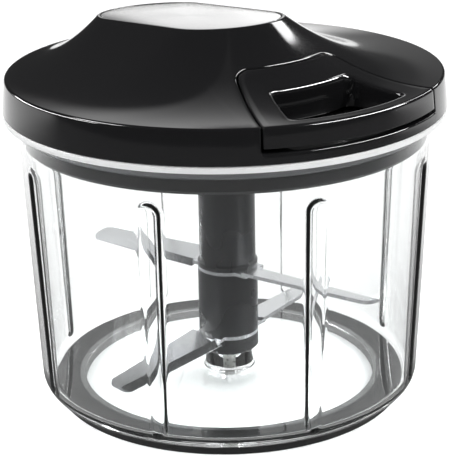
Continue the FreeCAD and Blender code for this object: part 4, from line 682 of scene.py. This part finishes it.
# %% Lid: the notch's measures
NOTCH_RADIUS, NOTCH_CORNER, SIDE_LEAN, SIDE_OFFSET = 35.2, 5.0, 24.5, 4.8
LEDGE_LEVEL, SKIRT_RADIUS = 102.6, 72.8
CORNER_RING = NOTCH_RADIUS + NOTCH_CORNER
CORNER_SWING = math.degrees(math.asin((SIDE_OFFSET - NOTCH_CORNER) / CORNER_RING))
CORNER_ANGLE, CORNER_TURN = SIDE_LEAN + CORNER_SWING, 90 + CORNER_SWING
SIDE_START = CORNER_RING * math.cos(math.radians(CORNER_SWING))
RIM_CENTRE = (0, 0, RIM_LEVEL)


def side_run(radius, offset=SIDE_OFFSET):
    """How far along the notch's side a radius lies."""
    return math.sqrt(radius ** 2 - offset ** 2)


def side_angle(radius, offset=SIDE_OFFSET):
    """The angle at which the notch's side crosses a radius."""
    return SIDE_LEAN + math.degrees(math.asin(offset / radius))


def side_place(run, side, level, offset=SIDE_OFFSET):
    """A place on the notch's side, or on a line beside it, by its distance along it."""
    lean = math.radians(SIDE_LEAN)
    return Vector((side * (offset * math.cos(lean) + run * math.sin(lean)),
                   offset * math.sin(lean) - run * math.cos(lean), level))


def beside(place, side):
    """How far a place lies outwards of the line through the axis along one side."""
    lean = math.radians(SIDE_LEAN)
    return side * place.x * math.cos(lean) + place.y * math.sin(lean)


def skirt_radius(level):
    return LID_RADIUS + (SKIRT_RADIUS - LID_RADIUS) * (RIM_LEVEL - level) / (RIM_LEVEL - BOWL_TOP)


RIM_ANGLE = side_angle(LID_RADIUS)
print("the notch opens %.1f degrees of the rim" % (2 * RIM_ANGLE))

# %% Lid: outlines
# Both outlines are drawn in runs with the same numbers of parts, so the bridge joins like to like.
SIDE_PARTS, ARC_PARTS, CORNER_PARTS, FLANK_PARTS, BACK_PARTS, END_PARTS = 24, 32, 8, 48, 56, 4
FRONT_HALF, FLANK_ANGLE, SPLIT_PLACE = 80, 96.7, 14


def grip_outline(radius, level):
    """The slot round the grip's top, drawn flat and tilted up on the handle's side."""
    low, high = (0, GRIP_BACK - GRIP_HALF, level), (0, GRIP_BACK + GRIP_HALF, level)
    start_line(Vector(low) + polar(radius, -FRONT_HALF))
    arc(low, 2 * FRONT_HALF, ARC_PARTS + 2 * CORNER_PARTS)
    arc(low, 90 - FRONT_HALF, END_PARTS)
    line((radius, SPLIT_PLACE, level), SIDE_PARTS - END_PARTS)
    line((radius, high[1], level), FLANK_PARTS)
    arc(high, 180, BACK_PARTS)
    line((-radius, SPLIT_PLACE, level), FLANK_PARTS)
    line((-radius, low[1], level), SIDE_PARTS - END_PARTS)
    arc(low, 90 - FRONT_HALF, END_PARTS)
    weld()
    pick_points(lambda place: near(place.z, level))
    rotate(-math.degrees(math.atan(GRIP_SLOPE)), "X", (0, 0, level))


def notch_outline(inward, radius, rim_runs):
    """The notch's line a distance further in, closed along a radius in runs of degrees and parts."""
    offset = SIDE_OFFSET + inward
    start_line(polar(NOTCH_RADIUS - inward, -CORNER_ANGLE, RIM_LEVEL))
    arc(RIM_CENTRE, 2 * CORNER_ANGLE, ARC_PARTS)
    arc(polar(CORNER_RING, CORNER_ANGLE, RIM_LEVEL), -CORNER_TURN, CORNER_PARTS)
    line(side_place(side_run(radius, offset), 1, RIM_LEVEL, offset), SIDE_PARTS)
    for degrees, parts in rim_runs:
        arc(RIM_CENTRE, degrees, parts)
    line(side_place(SIDE_START, -1, RIM_LEVEL, offset), SIDE_PARTS)
    arc(polar(CORNER_RING, -CORNER_ANGLE, RIM_LEVEL), -CORNER_TURN, CORNER_PARTS)
    weld()


def rim_outline(inward):
    """The lid's rim with the notch in it, or the same line a distance further in."""
    radius = LID_RADIUS - inward
    flank = (FLANK_ANGLE, FLANK_PARTS)
    back = 360 - 2 * (side_angle(radius, SIDE_OFFSET + inward) + FLANK_ANGLE)
    notch_outline(inward, radius, (flank, (back, BACK_PARTS), flank))


# %% Lid: top
EDGE_STRIP, TOP_CUTS = 1.6, 24


def press_down(piece):
    """Drop every vertex straight onto the lid's form."""
    apply(piece, "SHRINKWRAP", target=lid_form, wrap_method="PROJECT", use_project_z=True,
          use_negative_direction=True, use_positive_direction=True)


lid_cover = blank("lid_cover")
rim_outline(EDGE_STRIP)
grip_outline(GRIP_RADIUS, grip_level(1))
select_all()
bridge(cuts=TOP_CUTS)
rim_outline(0)
pick_edges(lambda place: near(place.z, RIM_LEVEL), lambda edge: edge.is_wire or edge.is_boundary)
bridge(cuts=1)
weld()
put_down()
press_down(lid_cover)
print("lid top: %d faces" % len(lid_cover.data.polygons))

# %% Lid: notch walls
def flatten(level):
    """Bring the selection to one level."""
    bpy.ops.transform.resize(value=(1, 1, 0), center_override=(0, 0, level * mm))


def extrude_to(level):
    """Extrude the selection and bring its new end to one level."""
    extrude((0, 0, -1))
    flatten(level)


def widen(factor, centre=(0, 0, 0)):
    bpy.ops.transform.resize(value=(factor, factor, 1), center_override=Vector(centre) * mm)


def on_side(place, side):
    return near(beside(place, side), SIDE_OFFSET) and (
        place - side_place(0, side, place.z)).length > SIDE_START - SLACK


def in_notch(place):
    return (place.y < 0 and place.xy.length > NOTCH_RADIUS - SLACK
            and max(beside(place, 1), beside(place, -1)) < SIDE_OFFSET + SLACK)


take(lid_cover, edit=True)
pick_edges(lambda place: in_notch(place) or place.xy.length > LID_RADIUS - SLACK,
           lambda edge: edge.is_boundary)
extrude_to(LEDGE_LEVEL)
LEDGE_RADIUS = skirt_radius(LEDGE_LEVEL)
for side in (1, -1):
    pick_points(lambda place: near(place.z, LEDGE_LEVEL) and on_side(place, side))
    widen((side_run(LEDGE_RADIUS) - SIDE_START) / (side_run(LID_RADIUS) - SIDE_START),
          side_place(SIDE_START, side, LEDGE_LEVEL))
pick_points(lambda place: near(place.z, LEDGE_LEVEL) and near(place.xy.length, LID_RADIUS))
widen(LEDGE_RADIUS / LID_RADIUS)
print("ledge: radius %.2f mm" % LEDGE_RADIUS)

# %% Lid: ledge and skirt
LEDGE_ANGLE = side_angle(LEDGE_RADIUS)
start_line(polar(LEDGE_RADIUS, -LEDGE_ANGLE, LEDGE_LEVEL))
arc((0, 0, LEDGE_LEVEL), 2 * LEDGE_ANGLE, ARC_PARTS + 2 * CORNER_PARTS)
inner_reach = math.hypot(SIDE_START, SIDE_OFFSET)
pick_edges(lambda place: near(place.z, LEDGE_LEVEL) and in_notch(place)
           and (place.xy.length < inner_reach + SLACK or place.xy.length > LEDGE_RADIUS - SLACK))
bridge(cuts=SIDE_PARTS - 1)
weld()
pick_edges(lambda place: near(place.z, LEDGE_LEVEL) and place.xy.length > LEDGE_RADIUS - SLACK)
extrude_to(BOWL_TOP)
widen(SKIRT_RADIUS / LEDGE_RADIUS)
print("lid with skirt:", len(bmesh.from_edit_mesh(lid_cover.data).faces), "faces")

# %% Lid: the plate's recess
PLATE_INSET, PLATE_GAP, PLATE_DEPTH, RECESS_DEPTH, SHELL_WALL = 0.9, 0.35, 0.8, 0.95, 2.0
GRIP_LEAN = math.atan(GRIP_SLOPE)
GRIP_UP = Vector((0, math.sin(GRIP_LEAN), math.cos(GRIP_LEAN)))
GRIP_MIDDLE = Vector((0, 0, grip_level(1)))


def on_grip(place):
    """True on the plane of the grip's flat top."""
    return near((place - GRIP_MIDDLE).dot(GRIP_UP), 0, WIDE_SLACK)


pick_edges(on_grip, lambda edge: edge.is_boundary)
bpy.ops.mesh.edge_face_add()
bpy.ops.mesh.inset(thickness=PLATE_INSET * mm)
extrude(-GRIP_UP * RECESS_DEPTH)
face_out()
put_down()
apply(lid_cover, "SOLIDIFY", thickness=SHELL_WALL * mm, offset=-1.0)
print("lid shell: %d faces" % len(lid_cover.data.polygons))

# %% Lid: rounded edges
RIM_ROUND, EDGE_ROUND, GRIP_ROUND = 0.8, 0.7, 0.38
FORM_ANGLE, GRIP_ANGLE = 50, 18


def angle_of(place):
    """The angle of a place from the handle's side, in degrees."""
    return math.degrees(math.atan2(place.x, -place.y))


def sharp_edge(edge, least=45):
    return len(edge.link_faces) == 2 and edge.calc_face_angle() > math.radians(least)


def on_rim(place):
    """True on the lid's rim, the notch apart."""
    return (near(place.xy.length, LID_RADIUS, WIDE_SLACK) and near(place.z, RIM_LEVEL, WIDE_SLACK)
            and abs(angle_of(place)) > RIM_ANGLE - SLACK)


def is_form_edge(edge):
    """An edge where the lid's top or skirt meets the notch, or the skirt's lower edge."""
    ends = [end.co / mm for end in edge.verts]
    if all(near(end.z, BOWL_TOP) and near(end.xy.length, SKIRT_RADIUS) for end in ends):
        return True
    if not all(in_notch(end) and end.z > LEDGE_LEVEL - SLACK for end in ends):
        return False
    return sharp_edge(edge, FORM_ANGLE) and not all(
        near(end.z, LEDGE_LEVEL) and end.xy.length < LEDGE_RADIUS - WIDE_SLACK for end in ends)


take(lid_cover, edit=True)
pick_points(lambda place: place.z < BOWL_TOP - SLACK)
flatten(BOWL_TOP)
rim_edges = pick_edges(on_rim)
bevel(RIM_ROUND)
notch_edges = pick("EDGE", is_form_edge)
bevel(EDGE_ROUND)
grip_edges = pick_edges(on_grip, lambda edge: sharp_edge(edge, GRIP_ANGLE))
bevel(GRIP_ROUND, segments=3)
print("rounded edges:", rim_edges, notch_edges, grip_edges)
put_down()

# %% Lid: the hole for the cord's eyelet
EYELET_RADIUS, EYELET_RUN = 2.4, (31.5, 36.5)


def cut(piece, cutter):
    """Take a cutter's form out of a piece."""
    apply(piece, "BOOLEAN", operation="DIFFERENCE", object=cutter, solver="EXACT")
    discard(cutter)


def round_cutter(radius, start, end):
    """A round bar along Y at the cord's level, between two distances on the handle's side."""
    put_down()
    bpy.ops.mesh.primitive_cylinder_add(
        vertices=48, radius=radius * mm, depth=(end - start) * mm,
        location=Vector((0, -(start + end) / 2, CORD_LEVEL)) * mm,
        rotation=(math.radians(90), 0, 0))
    return bpy.context.object


cut(lid_cover, round_cutter(EYELET_RADIUS, *EYELET_RUN))
dress(lid_cover, gloss_black_abs)
finish_piece(lid_cover, smooth_angle=35)
place_piece(lid_cover, "lid", "black_gloss", "lid_shell")

# %% [markdown]
# ## The pull handle
# The handle is a frame of the lid's form round a finger opening. It is drawn as two outlines: its
# outside, 0.7 mm inside the notch, and the opening. They are bridged and pressed onto the same form
# as the lid. One extrusion gives the handle its height. The opening's edges are rounded more than
# the rest, because fingers pull on them. Below are the rooms for the cover and the knot, with a
# hole on the lid's side for the cord. The screws are simply set into the plastic.

# %% Handle: outlines
HANDLE_GAP, HANDLE_LOW, HANDLE_CUTS = 0.7, 103.9, 3
OPEN_INNER, OPEN_OUTER, OPEN_ANGLE, OPEN_CORNER = 46.5, 66.6, 19.5, 2.6
RIM_PARTS, OPEN_SIDE_PARTS, OPEN_REAR_PARTS = 48, 20, 40


def corner_ring(radius, angle):
    """The lean and centre of a corner of the opening, at its place in the ring."""
    lean = math.degrees(math.asin(OPEN_CORNER / radius))
    return lean, polar(radius, angle - lean, RIM_LEVEL), polar(radius, lean - angle, RIM_LEVEL)


inner_lean, inner_right, inner_left = corner_ring(OPEN_INNER + OPEN_CORNER, OPEN_ANGLE)
outer_lean, outer_right, outer_left = corner_ring(OPEN_OUTER - OPEN_CORNER, OPEN_ANGLE)
handle_swing = -2 * side_angle(LID_RADIUS, SIDE_OFFSET - HANDLE_GAP)
grip_handle = blank("grip_handle")
notch_outline(-HANDLE_GAP, LID_RADIUS, ((handle_swing, RIM_PARTS),))
start_line(polar(OPEN_INNER, inner_lean - OPEN_ANGLE, RIM_LEVEL))
arc(RIM_CENTRE, 2 * (OPEN_ANGLE - inner_lean), ARC_PARTS)
arc(inner_right, inner_lean - 90, CORNER_PARTS)
line(polar(side_run(OPEN_OUTER - OPEN_CORNER, OPEN_CORNER), OPEN_ANGLE, RIM_LEVEL),
     OPEN_SIDE_PARTS)
arc(outer_right, -90 - outer_lean, CORNER_PARTS)
arc(RIM_CENTRE, -2 * (OPEN_ANGLE - outer_lean), OPEN_REAR_PARTS)
arc(outer_left, -90 - outer_lean, CORNER_PARTS)
line(polar(side_run(OPEN_INNER + OPEN_CORNER, OPEN_CORNER), -OPEN_ANGLE, RIM_LEVEL),
     OPEN_SIDE_PARTS)
arc(inner_left, inner_lean - 90, CORNER_PARTS)
weld()
select_all()
bridge(cuts=HANDLE_CUTS)
put_down()
press_down(grip_handle)
print("handle top: %d faces" % len(grip_handle.data.polygons))

# %% Handle: height and rounded edges
OPENING_ROUND, NEAR_OPENING, NEAR_ANGLE = 1.25, 2, 1.5


def round_opening(place, reach=WIDE_SLACK, swing=WIDE_SLACK):
    """True above the underside, on the opening's edge or within a reach and a swing of it."""
    return (OPEN_INNER - reach < place.xy.length < OPEN_OUTER + reach
            and abs(angle_of(place)) < OPEN_ANGLE + swing and place.z > HANDLE_LOW + WIDE_SLACK)


take(grip_handle, edit=True)
face_out()
extrude_to(HANDLE_LOW)
pick_points(lambda place: near(place.z, HANDLE_LOW) and place.xy.length > LID_RADIUS - SLACK)
widen(skirt_radius(HANDLE_LOW) / LID_RADIUS)
face_out()
opening_edges = pick_edges(round_opening, sharp_edge)
bevel(OPENING_ROUND, segments=5)
rim_edges = pick_edges(lambda place: near(place.xy.length, LID_RADIUS, WIDE_SLACK)
                       and place.z > RIM_LEVEL - 2 * WIDE_SLACK, sharp_edge)
bevel(RIM_ROUND)
frame_edges = pick("EDGE", lambda edge: sharp_edge(edge) and not any(
    round_opening(end.co / mm, NEAR_OPENING, NEAR_ANGLE) for end in edge.verts))
bevel(EDGE_ROUND)
print("handle edges:", opening_edges, rim_edges, frame_edges)
put_down()

# %% Handle: rooms below for the cover and the knot
# A room's inner and outer radius and half its angle.
COVER_ROOM, KNOT_ROOM = (37.1, 45.5, 21.1), (38.3, 44.4, 9.0)
COVER_DEPTH, KNOT_ROOM_TOP, OVERLAP, ROOM_PARTS = 1.5, 112.3, 0.5, 28
CORD_HOLE, CORD_HOLE_RUN = 1.05, (34.5, 39.5)


def ring_cutter(inner, outer, half_angle, low, high):
    """A piece of a ring round the lid's axis, on the handle's side."""
    block = new_drawing("ring_cutter", polar(inner, -half_angle, low))
    arc((0, 0, low), 2 * half_angle, ROOM_PARTS)
    line(polar(outer, half_angle, low))
    arc((0, 0, low), -2 * half_angle, ROOM_PARTS)
    line(polar(inner, -half_angle, low))
    weld()
    bpy.ops.mesh.edge_face_add()
    extrude((0, 0, high - low))
    face_out()
    put_down()
    return block


cover_top = HANDLE_LOW + COVER_DEPTH
cut(grip_handle, ring_cutter(*COVER_ROOM, HANDLE_LOW - OVERLAP, cover_top))
cut(grip_handle, ring_cutter(*KNOT_ROOM, cover_top - OVERLAP, KNOT_ROOM_TOP))
cut(grip_handle, round_cutter(CORD_HOLE, *CORD_HOLE_RUN))
dress(grip_handle, gloss_black_abs)
finish_piece(grip_handle, smooth_angle=35)
place_piece(grip_handle, "handle", "black_gloss", "pull_handle")

# %% [markdown]
# ## The grip's steel plate
# A thin stainless plate is glued into the recess of the grip. Its outline is the slot of the grip,
# filled, extruded by its thickness and rounded along its upper edge.

# %% Top plate
PLATE_RADIUS, PLATE_ROUND = GRIP_RADIUS - PLATE_INSET - PLATE_GAP, 0.2
PLATE_LOW = grip_level(1) - RECESS_DEPTH
plate_foot = Vector((0, 0, PLATE_LOW))
steel_plate = blank("steel_plate")
grip_outline(PLATE_RADIUS, PLATE_LOW)
select_all()
bpy.ops.mesh.edge_face_add()
extrude(GRIP_UP * PLATE_DEPTH)
face_out()
upper_edges = pick_edges(lambda place: (place - plate_foot).dot(GRIP_UP) > PLATE_DEPTH / 2,
                         sharp_edge)
bevel(PLATE_ROUND, segments=3)
print("plate edges:", upper_edges)
put_down()
dress(steel_plate, brushed_steel)
finish_piece(steel_plate, smooth_angle=30)
place_piece(steel_plate, "lid", "brushed_steel", "top_plate")
discard(lid_form)

# %% [markdown]
# ## The cord
# One cord does the work: it is wound on the reel's drum, leaves it on a tangent, turns round a
# smooth eyelet in the lid and ends in a knot inside the handle. The wound part is a NURBS curve
# that takes the route's points as its control points. The part between lid and handle is taut and
# grows as the handle is pulled; here it is a straight tube.

# %% Cord on the reel
CORD_RADIUS, WIND_RADIUS, CORD_PITCH, CORD_TURNS = 0.8, 24.9, 2.1, 2.75
LEAVE_ANGLE, CORNER_DISTANCE, RUN_END = -120.84, 29.0, 35.6
TURN_POINTS = 16
route = []
for step in range(round(CORD_TURNS * TURN_POINTS), -1, -1):
    turn = math.radians(LEAVE_ANGLE - 360 * step / TURN_POINTS)
    route.append((WIND_RADIUS * math.cos(turn), WIND_RADIUS * math.sin(turn),
                  CORD_LEVEL - CORD_PITCH * step / TURN_POINTS))
route += [(0, -CORNER_DISTANCE, CORD_LEVEL), (0, -RUN_END, CORD_LEVEL)]
cord_line = bpy.data.curves.new("wound_cord", "CURVE")
cord_line.dimensions = "3D"
spline = cord_line.splines.new("NURBS")
spline.points.add(len(route) - 1)
for point, place in zip(spline.points, route):
    point.co = tuple(Vector(place) * mm) + (1,)
spline.order_u = 3
spline.use_endpoint_u = True
spline.resolution_u = 6
cord_line.bevel_depth = CORD_RADIUS * mm
cord_line.bevel_resolution = 3
cord_line.use_fill_caps = True
wound_cord = bpy.data.objects.new("wound_cord", cord_line)
bpy.context.scene.collection.objects.link(wound_cord)
wound_cord.data.materials.append(white_braid)
place_piece(wound_cord, "lid", "cord_fibre", "pull_cord")
print("wound cord: %d control points" % len(route))

# %% Taut cord
LEAD_END, LEAD_RINGS, CORD_OVERLAP = 39.35, 24, 0.3
lead_start = Vector((0, CORD_OVERLAP - RUN_END, CORD_LEVEL))
taut_cord = new_drawing("taut_cord", lead_start + Vector((0, 0, CORD_RADIUS)))
bpy.ops.mesh.spin(steps=24, angle=2 * math.pi, center=lead_start * mm, axis=(0, 1, 0))
weld()
bpy.ops.mesh.edge_face_add()
ring_step = (LEAD_END - RUN_END + CORD_OVERLAP) / LEAD_RINGS
for _ in range(LEAD_RINGS):
    extrude((0, -ring_step, 0))
face_out()
put_down()
dress(taut_cord, white_braid)
finish_piece(taut_cord, smooth_angle=50)
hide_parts("cord_lead")
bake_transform(taut_cord)

# %% Knot
KNOT_PLACE, TURN_RADIUS, TURN_THICKNESS = 41.0, 1.15, 0.72
# Each turn of the knot: its lean from upright and its bearing, in degrees.
KNOT_TURNS = ((35, 0), (-35, 60), (10, 120))
cord_knot = blank("cord_knot_turns")
for lean, bearing in KNOT_TURNS:
    put_down()
    bpy.ops.mesh.primitive_torus_add(
        major_segments=36, minor_segments=12, major_radius=TURN_RADIUS * mm,
        minor_radius=TURN_THICKNESS * mm, location=Vector((0, -KNOT_PLACE, CORD_LEVEL)) * mm,
        rotation=(math.radians(90 + lean), 0, math.radians(bearing)))
    bpy.ops.object.transform_apply(location=True, rotation=True)
    cord_knot.select_set(True)
    bpy.context.view_layer.objects.active = cord_knot
    bpy.ops.object.join()
dress(cord_knot, white_braid)
finish_piece(cord_knot, smooth_angle=60)
place_piece(cord_knot, "handle", "cord_fibre", "cord_knot")

# %% [markdown]
# ## Floor, light and background
# The chopper stands in a white studio: a pale floor that keeps a soft shadow, a large soft light
# above on the left and a smaller one on the right. Glossy black plastic shows almost only what it
# mirrors, so what mirror rays meet is set by itself: a dark room, a tall white strip straight
# behind the chopper, a floor that is dim in front and white further back, and long thin softboxes
# on both sides, which light no matt surface. They draw the thin bright lines on the rounded edges.
# Rays that are turned back and forth inside the clear wall still meet white, and so do those that
# the blades send up through it.

# %% Floor
VIEW_AHEAD = Vector((0.595, 0.804, 0))
FLOOR_WIDTH, FLOOR_DROP = 6, 0.0002


def mirrored_once(tree, rays):
    """1 for a ray that has met one mirror so far, and 0 for any other."""
    return add(tree, "Math", {0: rays.outputs["Glossy Depth"], 1: 1.0, 2: 0.5}, operation="COMPARE")


put_down()
bpy.ops.mesh.primitive_plane_add(size=FLOOR_WIDTH, location=(0, 0, -FLOOR_DROP))
floor = bpy.context.object
floor.name = "floor"
bpy.ops.object.transform_apply(location=True)
floor_paper, tree, place = new_material("white_paper_floor")
rays = add(tree, "LightPath")
seen = add(tree, "Math", {0: 1.0, 1: rays.outputs["Is Diffuse Ray"]}, operation="SUBTRACT")
distance = add(tree, "VectorMath", {0: place}, operation="LENGTH")
lift = add(tree, "MapRange", {"Value": distance.outputs["Value"], "From Min": 0.4,
                              "From Max": 2.2, "To Min": 0.36, "To Max": 0.75})
glow = add(tree, "Math", {0: seen, 1: lift}, operation="MULTIPLY")
paper = add(tree, "BsdfPrincipled", {"Base Color": linear("#ececec"), "Roughness": 0.8,
                                     "Specular IOR Level": 0.2, "Emission Color": (1, 1, 1, 1),
                                     "Emission Strength": glow})
ahead = add(tree, "VectorMath", {0: place, 1: VIEW_AHEAD}, operation="DOT_PRODUCT")
dim = add(tree, "MapRange", {"Value": ahead.outputs["Value"], "From Min": -0.1, "From Max": 0.4,
                             "To Min": 0.2, "To Max": 1.4}, interpolation_type="SMOOTHSTEP")
mirrored = add(tree, "Emission", {"Color": (1, 1, 1, 1), "Strength": dim})
give_out(tree, add(tree, "MixShader", {0: mirrored_once(tree, rays), 1: paper, 2: mirrored}))
dress(floor, floor_paper)
print("floor: %d m square, %.1f mm under the bowl's ring" % (FLOOR_WIDTH, FLOOR_DROP / mm))

# %% World: the strips that mirrors see
STRIP_HALF = 20
VIEW_RIGHT = Vector((0.804, -0.595, 0))


def strip(tree, bearing, stops):
    """Brightness against the bearing from straight ahead, in degrees to the right."""
    share = add(tree, "MapRange", {"Value": bearing, "From Min": math.radians(-STRIP_HALF),
                                   "From Max": math.radians(STRIP_HALF)})
    ramp = add(tree, "ValToRGB", {"Fac": share})
    ramp.color_ramp.interpolation = "EASE"
    held = ramp.color_ramp.elements
    while len(held) < len(stops):
        held.new(0.5)
    for element, (degrees, value) in zip(held, stops):
        element.position = (degrees + STRIP_HALF) / (2 * STRIP_HALF)
        element.color = (value, value, value, 1)
    return ramp


world = bpy.data.worlds.new("studio")
bpy.context.scene.world = world
world.use_nodes = True
tree = world.node_tree
tree.nodes.clear()
ray = add(tree, "TexCoord").outputs["Generated"]
height = add(tree, "SeparateXYZ", {"Vector": ray}).outputs["Z"]
ahead = add(tree, "VectorMath", {0: ray, 1: VIEW_AHEAD}, operation="DOT_PRODUCT")
aside = add(tree, "VectorMath", {0: ray, 1: VIEW_RIGHT}, operation="DOT_PRODUCT")
bearing = add(tree, "Math", {0: aside.outputs["Value"], 1: ahead.outputs["Value"]},
              operation="ARCTAN2")
tall = strip(tree, bearing, ((-8, 0.0), (-5, 0.85), (-1, 1.0), (1, 0.95), (3.5, 0.12), (10, 0.05),
                             (14, 0.0)))
low = strip(tree, bearing, ((-8.5, 0.0), (-5.5, 0.95), (-1, 0.9), (4, 1.5), (6, 0.25), (8.5, 0.18),
                            (10.5, 0.0)))
fading = add(tree, "MapRange", {"Value": height, "From Min": 0.3, "From Max": 0.87,
                                "To Min": 0.95, "To Max": 0.08})
near_floor = add(tree, "MapRange", {"Value": height, "From Min": math.sin(math.radians(12)),
                                    "From Max": math.sin(math.radians(20)), "To Min": 1.0,
                                    "To Max": 0.0}, interpolation_type="SMOOTHSTEP")
tall_strip = add(tree, "Math", {0: tall, 1: fading}, operation="MULTIPLY")
low_strip = add(tree, "Math", {0: low, 1: near_floor}, operation="MULTIPLY")
strips = add(tree, "Math", {0: tall_strip, 1: low_strip}, operation="MAXIMUM")

# %% World: which rays see what
ROOM_LIGHT, SEEN_LIGHT, MATT_LIGHT = 0.035, 1.0, 0.35
mirror = add(tree, "Math", {0: strips, 1: ROOM_LIGHT}, operation="ADD")
rays = add(tree, "LightPath")
plain = add(tree, "Mix", {"Factor": rays.outputs["Is Diffuse Ray"], "A": SEEN_LIGHT,
                          "B": MATT_LIGHT})
through = add(tree, "Math", {0: rays.outputs["Transmission Depth"], 1: 0.5},
              operation="GREATER_THAN")
in_room = add(tree, "Math", {0: mirrored_once(tree, rays), 1: through}, operation="SUBTRACT",
              use_clamp=True)
strength = add(tree, "Mix", {"Factor": in_room, "A": plain, "B": mirror})
background = add(tree, "Background", {"Color": (1, 1, 1, 1), "Strength": strength})
add(tree, "OutputWorld", {"Surface": background})
print("world: %d nodes" % len(tree.nodes))

# %% Lamps
LAMP_AIM = Vector((0, 0, 0.1))
# Name, place, width and depth in metres, power in watts, roll in degrees, and the kind of rays
# that the lamp is hidden from.
LAMPS = (("overhead", (-0.5, 0.1, 1.2), 0.9, 0.9, 12, 0, "glossy"),
         ("right_front", (0.65, -0.75, 0.75), 0.45, 0.5, 6, 0, "glossy"),
         ("edge_light", (0.616, -0.605, 0.782), 1.2, 0.14, 33, 0, "diffuse"),
         ("left_edge_light", (-0.68, 0.36, 0.85), 0.5, 0.14, 7, 0, "diffuse"),
         ("left_rim_light", (-0.73, 0.78, 0.45), 1.46, 0.1, 19, 0, "diffuse"),
         ("flank_light", (0.964, 0.305, 0.693), 0.11, 0.52, 2.0, 21, "diffuse"))
for name, place, width, depth, power, roll, hidden_from in LAMPS:
    bpy.ops.object.light_add(type="AREA", location=place)
    lamp = bpy.context.object
    lamp.name = name
    lamp.data.shape = "RECTANGLE"
    lamp.data.size, lamp.data.size_y = width, depth
    lamp.data.energy = power
    aim_at(lamp, LAMP_AIM, math.radians(roll))
    setattr(lamp, "visible_" + hidden_from, False)
print("lamps:", len(LAMPS))

bpy.context.scene.view_settings.view_transform = "Standard"
